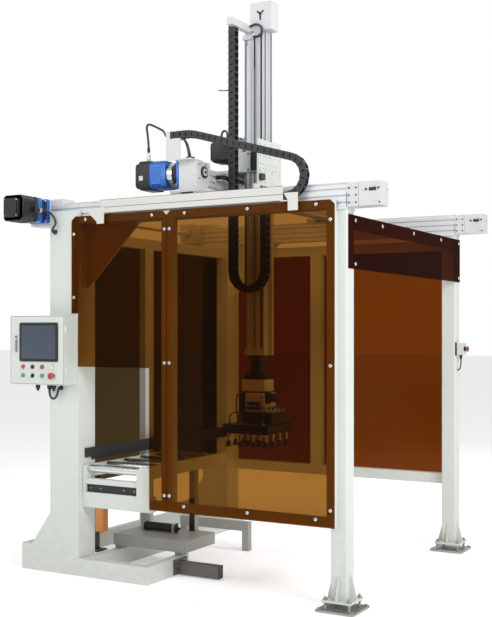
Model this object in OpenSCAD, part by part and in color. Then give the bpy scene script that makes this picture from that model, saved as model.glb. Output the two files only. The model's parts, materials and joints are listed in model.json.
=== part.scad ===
// Gantry palletizer cell: two left columns and two right posts carry two long
// modules, a cross bridge rolls along them, and a carriage on the bridge lifts
// a mast with a vacuum gripper. An infeed roller conveyor enters on the left.
// Millimetres. +X is right of the front, +Y is towards the back, +Z is up.

/* [Overall layout] */
// From the left columns' centre to the right posts' axis
span_x = 1908; // [1800:1:2050]
// From the front posts' axis to the rear posts' axis
span_y = 1860; // [1800:1:2000]
// Height of the underside of the long modules
frame_h = 2236; // [2180:1:2400]

/* [Right posts] */
// Outer width of the square posts
post_w = 100; // [80:1:120]
// Wall of the square posts
post_wall = 5; // [3:0.5:8]
// Width of the upper foot plate
foot_plate_w = 178; // [165:1:200]
// Width of the lower foot plate
floor_plate_w = 235; // [220:1:260]
// Thickness of the foot plates
foot_plate_t = 12; // [8:1:16]
// Height of the upper foot plate above the floor
foot_gap_h = 50; // [44:1:65]
// Diameter of the levelling studs
stud_d = 16; // [12:1:20]
// Height of the foot gussets
gusset_h = 130; // [90:1:160]

/* [Left columns] */
// Width of the left columns
column_w = 230; // [200:1:260]
// Depth of the left columns
column_d = 170; // [150:1:190]
// Sheet thickness of the left columns
column_wall = 6; // [4:0.5:10]
// Height of the base frame under the columns
base_h = 110; // [90:1:125]
// Width of the base frame bars
base_bar_w = 55; // [45:1:60]
// Leg length of the braces between the columns and the long modules
brace_leg = 405; // [300:1:450]
// Thickness of the braces' flanges
brace_flange_t = 8; // [6:1:12]

/* [Long modules] */
// Width of the extruded beams
beam_w = 110; // [100:1:120]
// Height of the extruded beams
beam_h = 126; // [110:1:140]
// Width of the drive boxes across the beam
drive_box_w = 120; // [116:1:126]
// Diameter of the connecting shaft
shaft_d = 35; // [25:1:45]
// Width of the guide rails
rail_w = 20; // [15:1:25]
// Height of the guide rails
rail_h = 14; // [10:1:16]
// Distance between the two guide rails on a beam
rail_gauge = 72; // [64:1:80]

/* [Bridge] */
// Bridge centre, left of the right posts' axis
bridge_x = -994; // [-1050:1:-950]
// Length of the saddles along the long modules
saddle_l = 240; // [200:1:260]
// Thickness of the saddle plates
saddle_t = 15; // [10:1:20]

/* [Carriage and mast] */
// Mast centre behind the front posts' axis
mast_y = 475; // [460:1:500]
// Width of the left mast profile
mast_left_w = 67; // [60:1:70]
// Width of the right mast profile
mast_right_w = 73; // [66:1:76]
// Depth of the mast profiles
mast_d = 110; // [90:1:116]
// Height of the mast's lower end
mast_z0 = 1400; // [1350:1:1480]
// Height of the mast's taller profile
mast_z1 = 3444; // [3300:1:3500]
// Thickness of the carriage plates
plate_t = 12; // [8:1:14]

/* [Cable chains] */
// Height of the two large chain links
chain_h = 45; // [38:1:48]
// Height of the small chain links
small_chain_h = 30; // [24:1:34]
// Gap between neighbouring chain links
chain_gap = 0.5; // [0.3:0.1:1]

/* [Guard panels] */
// Thickness of the tinted panels
panel_t = 6; // [4:1:8]
// Diameter of the panel bolts' heads
bolt_head_d = 22; // [16:1:26]

/* [Operator panel] */
// Width of the operator panel's box
hmi_w = 441; // [420:1:460]
// Height of the operator panel's box
hmi_h = 439; // [420:1:460]
// Depth of the operator panel's box
hmi_d = 126; // [100:1:140]
// Diameter of the lamps and buttons
button_d = 30; // [22:1:32]

/* [Infeed conveyor] */
// Diameter of the rollers
roller_d = 50; // [38:1:60]
// Length of a roller
roller_l = 390; // [350:1:400]
// Distance between the rollers
roller_pitch = 190; // [160:1:210]
// Height of the rollers' top
conveyor_h = 700; // [680:1:730]

/* [Gripper] */
// Side of the square suction plate
gripper_plate = 330; // [300:1:400]
// Height of the suction plate's underside
gripper_z = 913; // [905:1:940]
// Diameter of the suction cups
cup_d = 40; // [30:1:46]

/* [Hidden] */
$fn = 48;

// The front right post's axis is the drawing point; the box of the whole
// object then moves to stand centred on the origin.
paint = [0.78, 0.80, 0.78];
galvanised = [0.45, 0.46, 0.47];
silver = [0.75, 0.77, 0.79];
amber = [0.45, 0.22, 0.06, 0.75];
black = [0.07, 0.07, 0.08];
blue = [0.10, 0.38, 0.75];
cream = [0.88, 0.85, 0.76];

clearance = 0.3;            // between pieces on different bodies
running = 0.05;             // radial, of a shaft in its bore
eps = 0.5;                  // how far a cut runs past a face

// Columns and base
column_x = -span_x;
column_x0 = column_x - column_w / 2;
column_x1 = column_x + column_w / 2;
front_y = -column_d / 2;                 // the plane of the columns' front faces
rear_y = span_y + column_d / 2;
flare_reach = 153;                       // how far the column's foot flares out
flare_top = 272;                         // above the base frame
flare_low = 58;
shoe_reach_left = 237;
shoe_reach_right = 531;
inner_rail_reach = 58;
return_bar_reach = 465;
shoe_left = column_x0 - shoe_reach_left;
shoe_right = column_x1 + shoe_reach_right;
inner_rail_x1 = column_x1 + inner_rail_reach;
return_bar_y1 = front_y + return_bar_reach;
front_lip_h = 84;                        // the front face rises past the module

// Long modules
drive_x = column_x - 218;                // axis of the connecting shaft
drive_box_x0 = drive_x - 80;
drive_box_x1 = drive_x + 80;
lid_l = 108;
beam_x1 = post_w / 2;
end_box_l = 200;
beam_top = frame_h + beam_h;
drive_z = frame_h + 94;
drive_top = frame_h + 168;

// Saddle stack on the long modules
block_top = beam_top + 25;               // top of the bearing blocks
saddle_top = block_top + saddle_t;
bridge_z0 = saddle_top;
bridge_z1 = bridge_z0 + beam_h;
bridge_x0 = bridge_x - beam_w / 2;
bridge_x1 = bridge_x + beam_w / 2;
bridge_front = -50;                      // front face of the bridge's drive box
bridge_drive_l = 160;
bridge_rear_l = 125;
bridge_y1 = span_y + 145;
bridge_drive_h = 173;
bridge_axis_y = bridge_front + 90;
bridge_axis_z = bridge_z0 + 110;

// Carriage and mast
mast_x = bridge_x + 194;                 // the joint of the two mast profiles
mast_x0 = mast_x - mast_left_w;
mast_x1 = mast_x + mast_right_w;
mast_y0 = mast_y - mast_d / 2;
mast_y1 = mast_y + mast_d / 2;
mast_left_top = mast_z1 - 54;
block_gap = 23;                          // from a carriage plate to the mast
carriage_x0 = mast_x0 - 27;              // outer face of the left carriage plate
carriage_x1 = mast_x1 + 27;              // outer face of the right carriage plate
carriage_y0 = mast_y0 - block_gap - plate_t;
right_plate_y0 = carriage_y0 - 85;
y_block_top = bridge_z1 + 25;
carriage_plate_top = y_block_top + 17;
z_motor_y = mast_y1 + 42;
z_motor_z = bridge_z1 + 197;

// Chains: the pivot lines run half a link above their beds
bend_r = 112;
small_bend_r = 60;
chain_w = 46;
z_chain_w = 60;
tray_y0 = -112;
tray_y1 = -beam_w / 2;
tray_z0 = frame_h + 54;
tray_h = 78;
tray_x0 = column_x + 308;
tray_x1 = -316;
sheet = 3;
knee_r = 300;                            // a climbing chain levels out at this radius
x_chain_start = bridge_x - 107;
x_chain_bend_x = -305;
x_chain_slope = 16;
x_chain_climb = 651;
x_chain_level = 100;
x_chain_links = 46;
x_chain_z = tray_z0 + sheet + clearance + chain_h / 2;
y_shelf_z = bridge_z0 + 78;
y_chain_w = 38;
y_chain_fixed_y = 190;
y_chain_bend_y = 869;
y_chain_end_y = 500;
z_chain_left = bridge_x1 + chain_w + 10 + chain_h / 2;
z_chain_right = z_chain_left + 2 * bend_r;
z_chain_y = mast_y0 - 152;
z_chain_bend = 1922;
arm_z0 = mast_left_top + 46;
chain_bracket_z = bridge_z0;

// Guard panels
panel_y0 = front_y - panel_t;
mullion_reach = 788;
mullion_x = column_x + mullion_reach;
mullion_w = 76;
panel_rise = 44;
panel_top = frame_h + panel_rise;
panel_corner = 28;
panel_low = 463;
panel_lap = 51;
panel_left = column_x1 - panel_lap;
panel_right = -8;
infeed_reach = 125;
infeed_x1 = mullion_x - infeed_reach;    // right edge of the infeed opening
infeed_top = 1327;
seam = 2;
side_panel_h = 300;
batten_w = 50;

// Operator panel
hmi_x1 = column_x1 - 13;
hmi_x0 = hmi_x1 - hmi_w;
hmi_z0 = 1212;
hmi_y0 = front_y - hmi_d;
lamp_pitch = hmi_w / 5.6;
lamp_x = hmi_x0 + hmi_w / 4;
lamp_row_1 = hmi_z0 + hmi_h * 0.2574;
lamp_row_2 = hmi_z0 + hmi_h * 0.13;

// Right hand emergency stop
estop_z = 1427;
estop_box_w = 90;
estop_x0 = post_w / 2;

// Conveyor
roller_count = 6;
conveyor_x0 = column_x1 + 3;             // outer face of the left side rail
side_rail_t = 22;
roller_x0 = conveyor_x0 + side_rail_t + 3;
roller_x1 = roller_x0 + roller_l;
conveyor_x1 = roller_x1 + 3 + side_rail_t;
conveyor_y0 = -45;
conveyor_y1 = (roller_count - 1) * roller_pitch + 60;
axle_d = 12;
axle_z = conveyor_h - roller_d / 2;
bracket_w = 85;
stand_y0 = 281;
stand_y1 = 640;
stand_z0 = base_h + 24;
stand_z1 = stand_z0 + 76;
stand_x1 = shoe_right + 42;

// Gripper
gripper_x = mast_x - 3;
gripper_top = 1340;                      // the swivel flange under the mast

// The whole object's box, and the move that centres it
x_min = min(shoe_left, drive_box_x0);
x_max = beam_x1 + end_box_l;
x_motor_len = 295;
y_min = -drive_box_w / 2 - x_motor_len;
y_max = bridge_y1;
move_x = -(x_min + x_max) / 2;
move_y = -(y_min + y_max) / 2;

// Cord routes, chosen by hand: [x, y, z] from what carries them
function along(from, steps) = [for (p = steps) from + p];
x_socket = [drive_x + 97, -120, drive_z - 6];
x_gland = [column_x0 + 44, front_y - 10, frame_h - 47];
x_motor_lead = concat(
  along(x_socket, [
    [0, 0, 0], [0, 8, 0], [5, 16, -3], [16, 19, -10], [31, 20, -21], [47, 19, -37], [59, 17, -57],
    [67, 15, -80]
  ]),
  along(x_gland, [
    [18, -18, 41], [14, -26, 28], [8, -29, 15], [3, -25, 5], [0, -16, 0], [0, -8, 0], [0, 0, 0]
  ])
);
hmi_socket = [hmi_x1 - 168, front_y - 65, hmi_z0 - 26];
hmi_gland = [column_x0 + 93, front_y - 10, hmi_z0 - 23];
hmi_lead = concat(
  along(hmi_socket, [
    [0, 0, 0], [0, 0, -14], [1, 1, -32], [5, 4, -50], [13, 10, -62], [22, 17, -64], [30, 24, -56]
  ]),
  along(hmi_gland, [
    [-5, -30, -46], [-2, -24, -24], [-1, -20, -10], [0, -15, -2], [0, -8, 0], [0, 0, 0]
  ])
);
y_socket = [bridge_x0 - 288, bridge_axis_y, bridge_axis_z + 112];
lead_clamp_x = bridge_x0 - 60;
y_motor_lead = concat(
  along(y_socket, [
    [0, 0, 0], [0, 0, 22], [-1, 0, 60], [-4, -1, 110], [-8, -4, 160], [-10, -8, 190], [-4, -12, 208],
    [12, -18, 212], [36, -28, 206], [66, -42, 194]
  ]),
  along([lead_clamp_x, (tray_y0 + tray_y1 - 1) / 2, x_chain_top()], [
    [-90, 54, 58], [-60, 32, 44], [-38, 15, 27], [-23, 4, 10], [-12, 0, 0], [0, 0, 0]
  ])
);
z_socket = [carriage_x0 - 234, z_motor_y, z_motor_z + 92];
z_motor_lead = along(z_socket, [
  [0, 0, 0], [0, 0, 12], [1, 0, 26], [6, 0, 40], [15, 0, 49], [23, 0, 51], [31, 0, 49], [40, 0, 40],
  [45, 0, 26], [46, 0, 12], [46, 0, 0]
]);
mast_socket = [mast_x0 + 42, mast_y0 - 8, arm_z0 + 37];
mast_gland = [mast_x, mast_y0 - 8, mast_left_top + 14];
mast_lead = concat(
  along(mast_socket, [
    [0, 0, 0], [7, 0, 0], [20, 0, 5], [38, 0, 8], [56, 0, 5], [72, 0, -4], [84, 0, -18], [88, 0, -35],
    [86, 0, -50]
  ]),
  along(mast_gland, [[50, 0, 8], [38, 0, 1], [26, 0, -1], [12, 0, 0], [0, 0, 0]])
);
lead_d = 14;
lead_sides = 8;
gland_d = 28;

// Helpers

// Block from one corner to the other
module block(low, high) {
  translate(low)
    cube(high - low);
}

// Square tube standing up, with rounded corners
module tube(w, wall, h, corner) {
  linear_extrude(h)
    difference() {
      rounded_square(w, w, corner);
      rounded_square(w - 2 * wall, w - 2 * wall, corner / 2);
    }
}

// Rectangle with rounded corners, centred
module rounded_square(w, d, r) {
  square([w - 2 * r, d], center = true);
  square([w, d - 2 * r], center = true);
  for (x = [-1, 1], y = [-1, 1])
    translate([x * (w / 2 - r), y * (d / 2 - r)])
      circle(r);
}

// Rounded box lying with its front towards -Y
module front_box(low, high, r) {
  size = high - low;
  translate([low[0] + size[0] / 2, high[1], low[2] + size[2] / 2])
    rotate([90, 0, 0])
      linear_extrude(size[1])
        rounded_square(size[0], size[2], r);
}

// Beam section: slots on both sides and in the base
module beam_section(w, h) {
  slot_w = 10;
  slot_d = 9;
  difference() {
    square([w, h]);
    for (z = [h * 0.2, h * 0.5, h * 0.8], x = [-eps, w - slot_d])
      translate([x, z - slot_w / 2])
        square([slot_d + eps, slot_w]);
    for (x = [w * 0.25, w * 0.75])
      translate([x - slot_w / 2, -eps])
        square([slot_w, slot_d + eps]);
    translate([w / 2 - 22, slot_d + 14])
      square([44, h - 2 * slot_d - 28]);
  }
}

// Guide rail with waisted sides, along the direction it is extruded in
module rail_section() {
  waist = 2;
  polygon([
    [-rail_w / 2, 0], [rail_w / 2, 0], [rail_w / 2 - waist, rail_h * 0.45], [rail_w / 2, rail_h * 0.7],
    [rail_w / 2, rail_h], [-rail_w / 2, rail_h], [-rail_w / 2, rail_h * 0.7],
    [-rail_w / 2 + waist, rail_h * 0.45]
  ]);
}

// Bearing block that straddles a guide rail; it stands from the rail's foot
module bearing_section(stack) {
  foot = 3;
  cheek = 12;
  difference() {
    translate([-rail_w / 2 - cheek, foot])
      square([rail_w + 2 * cheek, stack - foot]);
    translate([-rail_w / 2 - clearance, 0])
      square([rail_w + 2 * clearance, rail_h + clearance]);
  }
}

// Cable chain: the pivots follow a straight bed, a bend, a climb and a level end
function turn_len(r, slope) = r * (180 - slope) * PI / 180;
function knee_len(slope) = knee_r * slope * PI / 180;
function chain_knee(bed, r, slope, climb) =
  [bed + r * sin(slope) - climb * cos(slope), r + r * cos(slope) + climb * sin(slope)];
function knee_point(s, slope) =
  let (rest = max(s - knee_len(slope), 0), a = max(slope - s / knee_r * 180 / PI, 0))
  knee_r * [sin(a) - sin(slope), cos(a) - cos(slope)] - [rest, 0];
function chain_point(s, bed, r, slope, climb) =
  let (bent = s - bed, risen = bent - turn_len(r, slope), a = bent / r * 180 / PI)
  bent < 0 ? [s, 0]
  : risen < 0 ? [bed + r * sin(a), r - r * cos(a)]
  : risen < climb ? chain_knee(bed, r, slope, risen)
  : chain_knee(bed, r, slope, climb) + knee_point(risen - climb, slope);
function chain_path(bed, r, slope, climb, level, count) =
  let (total = bed + turn_len(r, slope) + climb + knee_len(slope) + level)
  [for (i = [0 : count]) chain_point(total * i / count, bed, r, slope, climb)];

// One link: an open frame with tapered ends, so that it turns on its neighbour
module link(l, h, w) {
  taper = h / 2 * 0.24;
  wall = 5;
  bar = l * 0.34;
  difference() {
    rotate([90, 0, 0])
      linear_extrude(w, center = true)
        polygon([
          [0, 0], [taper, -h / 2], [l - taper, -h / 2], [l, 0], [l - taper, h / 2], [taper, h / 2]
        ]);
    block([-eps, -w / 2 + wall, -h / 2 + 4], [l + eps, w / 2 - wall, h / 2 - 4]);
    for (x = [-l, l / 2 + bar / 2])
      block([x, -w / 2 + wall, -h], [x + l * 1.5 - bar / 2, w / 2 - wall, h]);
  }
  for (side = [-1, 1])
    translate([l / 2, side * w / 2, 0])
      rotate([90, 0, 0])
        cylinder(d = h * 0.5, h = 3, center = true);
}

// A whole chain in the XZ plane, starting at the origin along +X
module chain(path, h, w) {
  for (i = [0 : len(path) - 2])
    let (
      from = path[i],
      step = path[i + 1] - path[i],
      l = norm(step)
    )
      translate([from[0], 0, from[1]])
        rotate([0, -atan2(step[1], step[0]), 0])
          translate([chain_gap / 2, 0, 0])
            link(l - chain_gap, h, w);
}

// Tube swept along hand-picked points, with a frame carried from ring to ring
function unit(v) = v / norm(v);
function tangent(p, i) = unit(p[min(i + 1, len(p) - 1)] - p[max(i - 1, 0)]);
function normals(p, i, n) =
  i >= len(p) ? []
  : let (
      t = tangent(p, i),
      m = unit(n - t * (n * t))
    ) concat([m], normals(p, i + 1, m));
module cord(p, d, sides) {
  start = abs(tangent(p, 0)[2]) > 0.7 ? [1, 0, 0] : [0, 0, 1];
  n = normals(p, 0, start);
  rings = [for (i = [0 : len(p) - 1], k = [0 : sides - 1])
    let (
      a = 360 * k / sides,
      t = tangent(p, i)
    ) p[i] + d / 2 * (cos(a) * n[i] + sin(a) * cross(t, n[i]))];
  walls = [for (i = [0 : len(p) - 2], k = [0 : sides - 1])
    let (
      j = (k + 1) % sides,
      a = i * sides
    ) [a + k, a + sides + k, a + sides + j, a + j]];
  ends = [
    [for (k = [0 : sides - 1]) k],
    [for (k = [sides - 1 : -1 : 0]) (len(p) - 1) * sides + k]
  ];
  polyhedron(rings, concat(walls, ends));
}

// Bolt head on a face that looks towards -Y
module bolt_front(x, z) {
  translate([x, panel_y0, z])
    rotate([90, 0, 0])
      cylinder(d = bolt_head_d, h = 5);
}

// Base frame

module base_frame() {
  bar = base_bar_w;
  cross_y = [front_y, -front_y - bar, span_y + front_y, rear_y - bar];
  color(paint) {
    for (y = cross_y)
      block([shoe_left, y, 0], [inner_rail_x1, y + bar, base_h]);
    for (x = [shoe_left, inner_rail_x1 - bar])
      block([x, front_y, 0], [x + bar, rear_y, base_h]);
    block([inner_rail_x1 - bar, front_y, 0], [shoe_right, front_y + bar, base_h]);
    block([shoe_right - bar, front_y, 0], [shoe_right, return_bar_y1, base_h]);
  }
}

// Left columns with their flared foot

module column_body(y) {
  flare_x = column_x0 - flare_reach;
  translate([0, y + column_d / 2, 0])
    rotate([90, 0, 0])
      linear_extrude(column_d)
        polygon([
          [column_x1, base_h], [column_x1, frame_h], [column_x0, frame_h],
          [column_x0, base_h + flare_top], [flare_x, base_h + flare_low],
          [shoe_left, base_h + flare_low], [shoe_left, base_h]
        ]);
}

module column(y) {
  w = column_wall;
  difference() {
    column_body(y);
    block([column_x0 + w, y - column_d / 2 + w, base_h - eps],
      [column_x1 - w, y + column_d / 2 - w, frame_h - w]);
    block([shoe_left + w, y - column_d / 2 + w, base_h - eps],
      [column_x0 + w + eps, y + column_d / 2 - w, base_h + flare_low - w]);
  }
}

module front_left_column() {
  color(paint) {
    column(0);
    block([column_x0, front_y, frame_h - 1], [column_x1, tray_y1 - 1, frame_h + front_lip_h]);
    translate([column_x0 - 49, front_y - 4, base_h + 27])
      rotate([-90, 0, 0])
        cylinder(d = 16, h = 5);
    for (p = [x_gland, hmi_gland])
      translate(p)
        rotate([-90, 0, 0])
          cylinder(d = gland_d, h = front_y - p[1] + 1);
    translate([column_x1 - 1, front_y + 45, base_h + 27])
      rotate([0, 90, 0])
        cylinder(d = 16, h = 5);
  }
}

module rear_left_column() {
  color(paint)
    column(span_y);
}

// Triangular braces in the corners between the columns and the long modules

module column_braces() {
  flange_w = 80;
  flange_t = brace_flange_t;
  web = 12;
  color(paint)
    for (y = [0, span_y]) {
      translate([column_x1, y + web / 2, frame_h])
        rotate([90, 0, 0])
          linear_extrude(web)
            polygon([[0, 0], [brace_leg, 0], [brace_leg, -20], [20, -brace_leg], [0, -brace_leg]]);
      block([column_x1, y - flange_w / 2, frame_h - brace_leg],
        [column_x1 + flange_t, y + flange_w / 2, frame_h]);
      block([column_x1, y - flange_w / 2, frame_h - flange_t],
        [column_x1 + brace_leg, y + flange_w / 2, frame_h]);
    }
}

// Right posts

module foot_holes(h) {
  for (x = [-1, 1], y = [-1, 1])
    translate([x * stud_offset(), y * stud_offset(), -eps])
      cylinder(d = stud_d + 2, h = h + 2 * eps);
}
function stud_offset() = foot_plate_w / 2 - 17;

module right_post(y) {
  z0 = foot_gap_h + foot_plate_t;
  flange = 10;
  rib = 8;
  reach = (foot_plate_w - post_w) / 2;
  color(paint)
    translate([0, y, 0]) {
      translate([0, 0, z0])
        tube(post_w, post_wall, frame_h - z0 - flange, 10);
      difference() {
        translate([0, 0, foot_gap_h])
          linear_extrude(foot_plate_t)
            square(foot_plate_w, center = true);
        translate([0, 0, foot_gap_h])
          foot_holes(foot_plate_t);
      }
      block([-post_w / 2, -post_w / 2 - 12, frame_h - flange], [post_w / 2, post_w / 2 + 12, frame_h]);
      for (a = [0 : 90 : 270])
        rotate([0, 0, a])
          translate([post_w / 2 - 1, rib / 2, z0])
            rotate([90, 0, 0])
              linear_extrude(rib)
                polygon([[0, 0], [reach + 1, 0], [reach + 1, 12], [7, gusset_h], [0, gusset_h]]);
    }
}

module front_right_post() {
  right_post(0);
}

module rear_right_post() {
  right_post(span_y);
}

// Floor plates, levelling studs and nuts under the right posts

module levelling_feet() {
  nut_h = 11;
  bolt_offset = floor_plate_w / 2 - 17;
  upper = foot_gap_h + foot_plate_t;
  color(galvanised)
    for (y = [0, span_y])
      translate([0, y, 0]) {
        difference() {
          linear_extrude(foot_plate_t)
            square(floor_plate_w, center = true);
          for (sx = [-1, 1], sy = [-1, 1])
            translate([sx * bolt_offset, sy * bolt_offset, -eps])
              cylinder(d = 14, h = foot_plate_t + 2 * eps);
        }
        for (sx = [-1, 1], sy = [-1, 1])
          translate([sx * stud_offset(), sy * stud_offset(), 0]) {
            translate([0, 0, foot_plate_t - 1])
              cylinder(d = stud_d, h = upper + nut_h + 9 - foot_plate_t + 1);
            for (z = [foot_gap_h - nut_h, upper])
              translate([0, 0, z])
                cylinder(d = stud_d * 1.6, h = nut_h, $fn = 6);
          }
      }
}

// Rails that tie the front frame to the rear frame

module side_rails() {
  left_x1 = column_x + 68;
  z0 = frame_h - 106;
  z1 = frame_h - 36;
  color(paint) {
    block([left_x1 - 50, -front_y, z0], [left_x1, span_y + front_y, z1]);
    block([0, post_w / 2, z0], [post_w / 2, span_y - post_w / 2, z1]);
  }
}

// Frame behind the front panels

module front_panel_frame() {
  batten_d = 35;
  top_d = 22;
  z_low = panel_low + 3;
  low_h = 54;
  mullion_d = 60;
  batten_x0 = panel_right - batten_w;
  color(paint) {
    block([mullion_x - mullion_w / 2, front_y, z_low],
      [mullion_x + mullion_w / 2, front_y + mullion_d, frame_h]);
    block([batten_x0, front_y, z_low], [panel_right, front_y + batten_d, frame_h - 12]);
    block([batten_x0, front_y, frame_h - 13], [panel_right, front_y + top_d, panel_top - 1]);
    block([column_x1 + 1, front_y, frame_h], [batten_x0, front_y + top_d, panel_top - 1]);
    block([infeed_x1 + 2, front_y, z_low], [batten_x0, front_y + batten_d, z_low + low_h]);
  }
}

// Frame at the back and the left: rails, mullions and a small fitting

module rear_panel_frame() {
  bar = 60;
  low_z = panel_low - 3;
  mull_x = -1075;
  left_y = mast_y + 245;
  rail_h0 = 72;
  brace_x1 = column_x1 + brace_flange_t;
  color(paint) {
    block([column_x1, rear_y - bar, low_z], [-post_w / 2, rear_y - 1, low_z + rail_h0]);
    block([brace_x1, rear_y - bar, frame_h - 106], [-post_w / 2, rear_y - 1, frame_h - 36]);
    block([mull_x - 45, rear_y - bar, low_z], [mull_x + 45, rear_y - 1, frame_h - 36]);
    block([column_x + 18, left_y, base_h], [column_x + 68, left_y + 100, frame_h - 106]);
    block([inner_rail_x1 - base_bar_w, left_y + 25, base_h], [inner_rail_x1 - 40, left_y + 75, base_h + 30]);
    block([column_x + 18, left_y + 25, base_h], [inner_rail_x1 - 40, left_y + 75, base_h + 30]);
  }
}

// Tinted guard panels

module front_panel(points) {
  translate([0, front_y, 0])
    rotate([90, 0, 0])
      linear_extrude(panel_t)
        polygon(points);
}

module front_left_panel() {
  x1 = mullion_x - seam / 2;
  cut = panel_corner;
  hmi_gap = 14;
  hmi_side = hmi_x1 + hmi_gap;
  hmi_top = hmi_z0 + hmi_h + hmi_gap;
  color(amber)
    front_panel([
      [hmi_side, infeed_top], [infeed_x1, infeed_top], [infeed_x1, panel_low], [x1, panel_low],
      [x1, panel_top - cut], [x1 - cut, panel_top], [panel_left + cut, panel_top],
      [panel_left, panel_top - cut], [panel_left, hmi_top], [hmi_side, hmi_top]
    ]);
}

module front_right_panel() {
  x0 = mullion_x + seam / 2;
  cut = panel_corner;
  color(amber)
    front_panel([
      [x0, panel_low], [panel_right, panel_low], [panel_right, panel_top - cut],
      [panel_right - cut, panel_top], [x0 + cut, panel_top], [x0, panel_top - cut]
    ]);
}

module right_panel() {
  z0 = frame_h - side_panel_h - 36;
  z1 = frame_h - 36;
  color(amber)
    block([post_w / 2, -35, z0], [post_w / 2 + panel_t, span_y + 40, z1]);
}

module rear_panel() {
  color(amber)
    block([column_x1 + 2, rear_y - 1, panel_low + 66], [-post_w / 2 - 2, rear_y - 1 + panel_t, frame_h - 36]);
}

module left_panels() {
  x0 = column_x + 18 - panel_t;
  mid = mast_y + 295;
  z0 = 560;
  z1 = frame_h - 36;
  color(amber) {
    block([x0, -front_y + 2, z0], [x0 + panel_t, mid - seam, z1]);
    block([x0, mid + seam, z0], [x0 + panel_t, span_y + front_y - 2, z1]);
  }
}

// Button-head bolts along the panels' edges

module panel_bolts() {
  edge = 24;
  top_z = panel_top - 22;
  low_z = panel_low + 42;
  mid_z = hmi_z0 + 149;
  high_z = panel_top - 111;
  corner_z = panel_low + 98;
  middle_x = (mullion_x + panel_right) / 2 + 5;
  color(galvanised) {
    for (x = [panel_left + 110, infeed_x1 + 20, mullion_x + 130, middle_x, panel_right - 112])
      bolt_front(x, top_z);
    for (x = [mullion_x - 14, mullion_x + 22, panel_right - edge], z = [corner_z, mid_z, high_z])
      bolt_front(x, z);
    for (x = [mullion_x + 126, middle_x, panel_right - 115])
      bolt_front(x, low_z);
    for (z = [hmi_z0 + hmi_h + 115, high_z])
      bolt_front(panel_left + edge - 5, z);
    for (y = [52, 449, 972, 1493, span_y + 12])
      translate([post_w / 2 + panel_t, y, frame_h - 64])
        rotate([0, 90, 0])
          cylinder(d = bolt_head_d, h = 5);
    for (y = [52, span_y + 12])
      translate([post_w / 2 + panel_t, y, frame_h - 308])
        rotate([0, 90, 0])
          cylinder(d = bolt_head_d, h = 5);
  }
}

// Long modules

module x_beam(y) {
  color(silver) {
    translate([drive_box_x1, y - beam_w / 2, frame_h])
      rotate([90, 0, 90])
        linear_extrude(beam_x1 - drive_box_x1)
          beam_section(beam_w, beam_h);
    for (side = [-1, 1])
      translate([drive_box_x1 + lid_l + 2, y + side * rail_gauge / 2, beam_top])
        rotate([90, 0, 90])
          linear_extrude(beam_x1 - drive_box_x1 - lid_l - 4)
            rail_section();
    block([drive_box_x1 + lid_l + 2, y - 12, beam_top], [beam_x1 - 2, y + 12, beam_top + 4]);
  }
}

module front_x_beam() {
  x_beam(0);
}

module rear_x_beam() {
  x_beam(span_y);
}

// Drive boxes, their lids, the end boxes and the shaft's rear bearing

module x_axis_boxes() {
  half = drive_box_w / 2;
  bore = shaft_d / 2 + running;
  color(silver) {
    for (y = [0, span_y]) {
      difference() {
        block([drive_box_x0, y - half, frame_h], [drive_box_x1, y + half, drive_top]);
        translate([drive_x, y - half - eps, drive_z])
          rotate([-90, 0, 0])
            cylinder(r = bore, h = drive_box_w + 2 * eps);
      }
      block([drive_box_x1, y - beam_w / 2, beam_top], [drive_box_x1 + lid_l, y + beam_w / 2, drive_top]);
      difference() {
        block([beam_x1, y - beam_w / 2 - 3, frame_h + 2],
          [beam_x1 + end_box_l, y + beam_w / 2 + 3, beam_top + 8]);
        block([beam_x1 + 70, y - beam_w, frame_h], [beam_x1 + 73, y - beam_w / 2, beam_top + 20]);
      }
      for (x = [beam_x1 + 30, beam_x1 + end_box_l - 25], z = [frame_h + 25, beam_top - 18])
        translate([x, y - beam_w / 2 - 2, z])
          rotate([90, 0, 0])
            cylinder(d = 12, h = 6);
    }
    difference() {
      block([drive_x - 66, span_y - half - 95, frame_h + 22], [drive_x + 66, span_y - half, drive_top]);
      translate([drive_x, span_y - half - 95 - eps, drive_z])
        rotate([-90, 0, 0])
          cylinder(r = bore, h = 95 + 2 * eps);
    }
  }
}

module connecting_shaft() {
  y0 = -drive_box_w / 2 + 4;
  y1 = span_y + drive_box_w / 2 - 4;
  collar = 30;
  color(silver) {
    translate([drive_x, y0, drive_z])
      rotate([-90, 0, 0])
        cylinder(d = shaft_d, h = y1 - y0);
    for (y = [drive_box_w / 2 + 12, span_y - drive_box_w / 2 - 95 - 12 - 2 * collar])
      translate([drive_x, y, drive_z])
        rotate([-90, 0, 0])
          cylinder(d = shaft_d + 30, h = 2 * collar);
    block([drive_x - shaft_d / 2 - 18, drive_box_w / 2 + 14, drive_z - 5],
      [drive_x - shaft_d / 2, drive_box_w / 2 + 10 + 2 * collar, drive_z + 5]);
  }
}

// Servo drive with its reduction gearbox. It points along +Z from its mounting
// face: flange, gearbox, adaptor, motor and rear cap, each as [side, length].

module servo(flange, gearbox, adaptor, body, cap) {
  stages = [flange, gearbox, adaptor, body, cap];
  for (i = [0 : len(stages) - 1])
    let (z = i == 0 ? 0 : stage_start(stages, i))
      translate([0, 0, z])
        linear_extrude(stages[i][1])
          rounded_square(stages[i][0], stages[i][0], stages[i][0] * 0.12);
}
function stage_start(stages, i) = i == 0 ? 0 : stages[i - 1][1] + stage_start(stages, i - 1);

module x_motor() {
  color(black)
    translate([drive_x, -drive_box_w / 2, drive_z]) {
      rotate([90, 0, 0])
        servo([155, 25], [148, 50], [158, 42], [168, 143], [120, 35]);
      block([80, -172, -26], [109, -140, 14]);
      translate([x_socket[0] - drive_x, -150, x_socket[2] - drive_z])
        rotate([-90, 0, 0])
          cylinder(d = gland_d - 4, h = x_socket[1] + drive_box_w / 2 + 150);
    }
}

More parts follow.
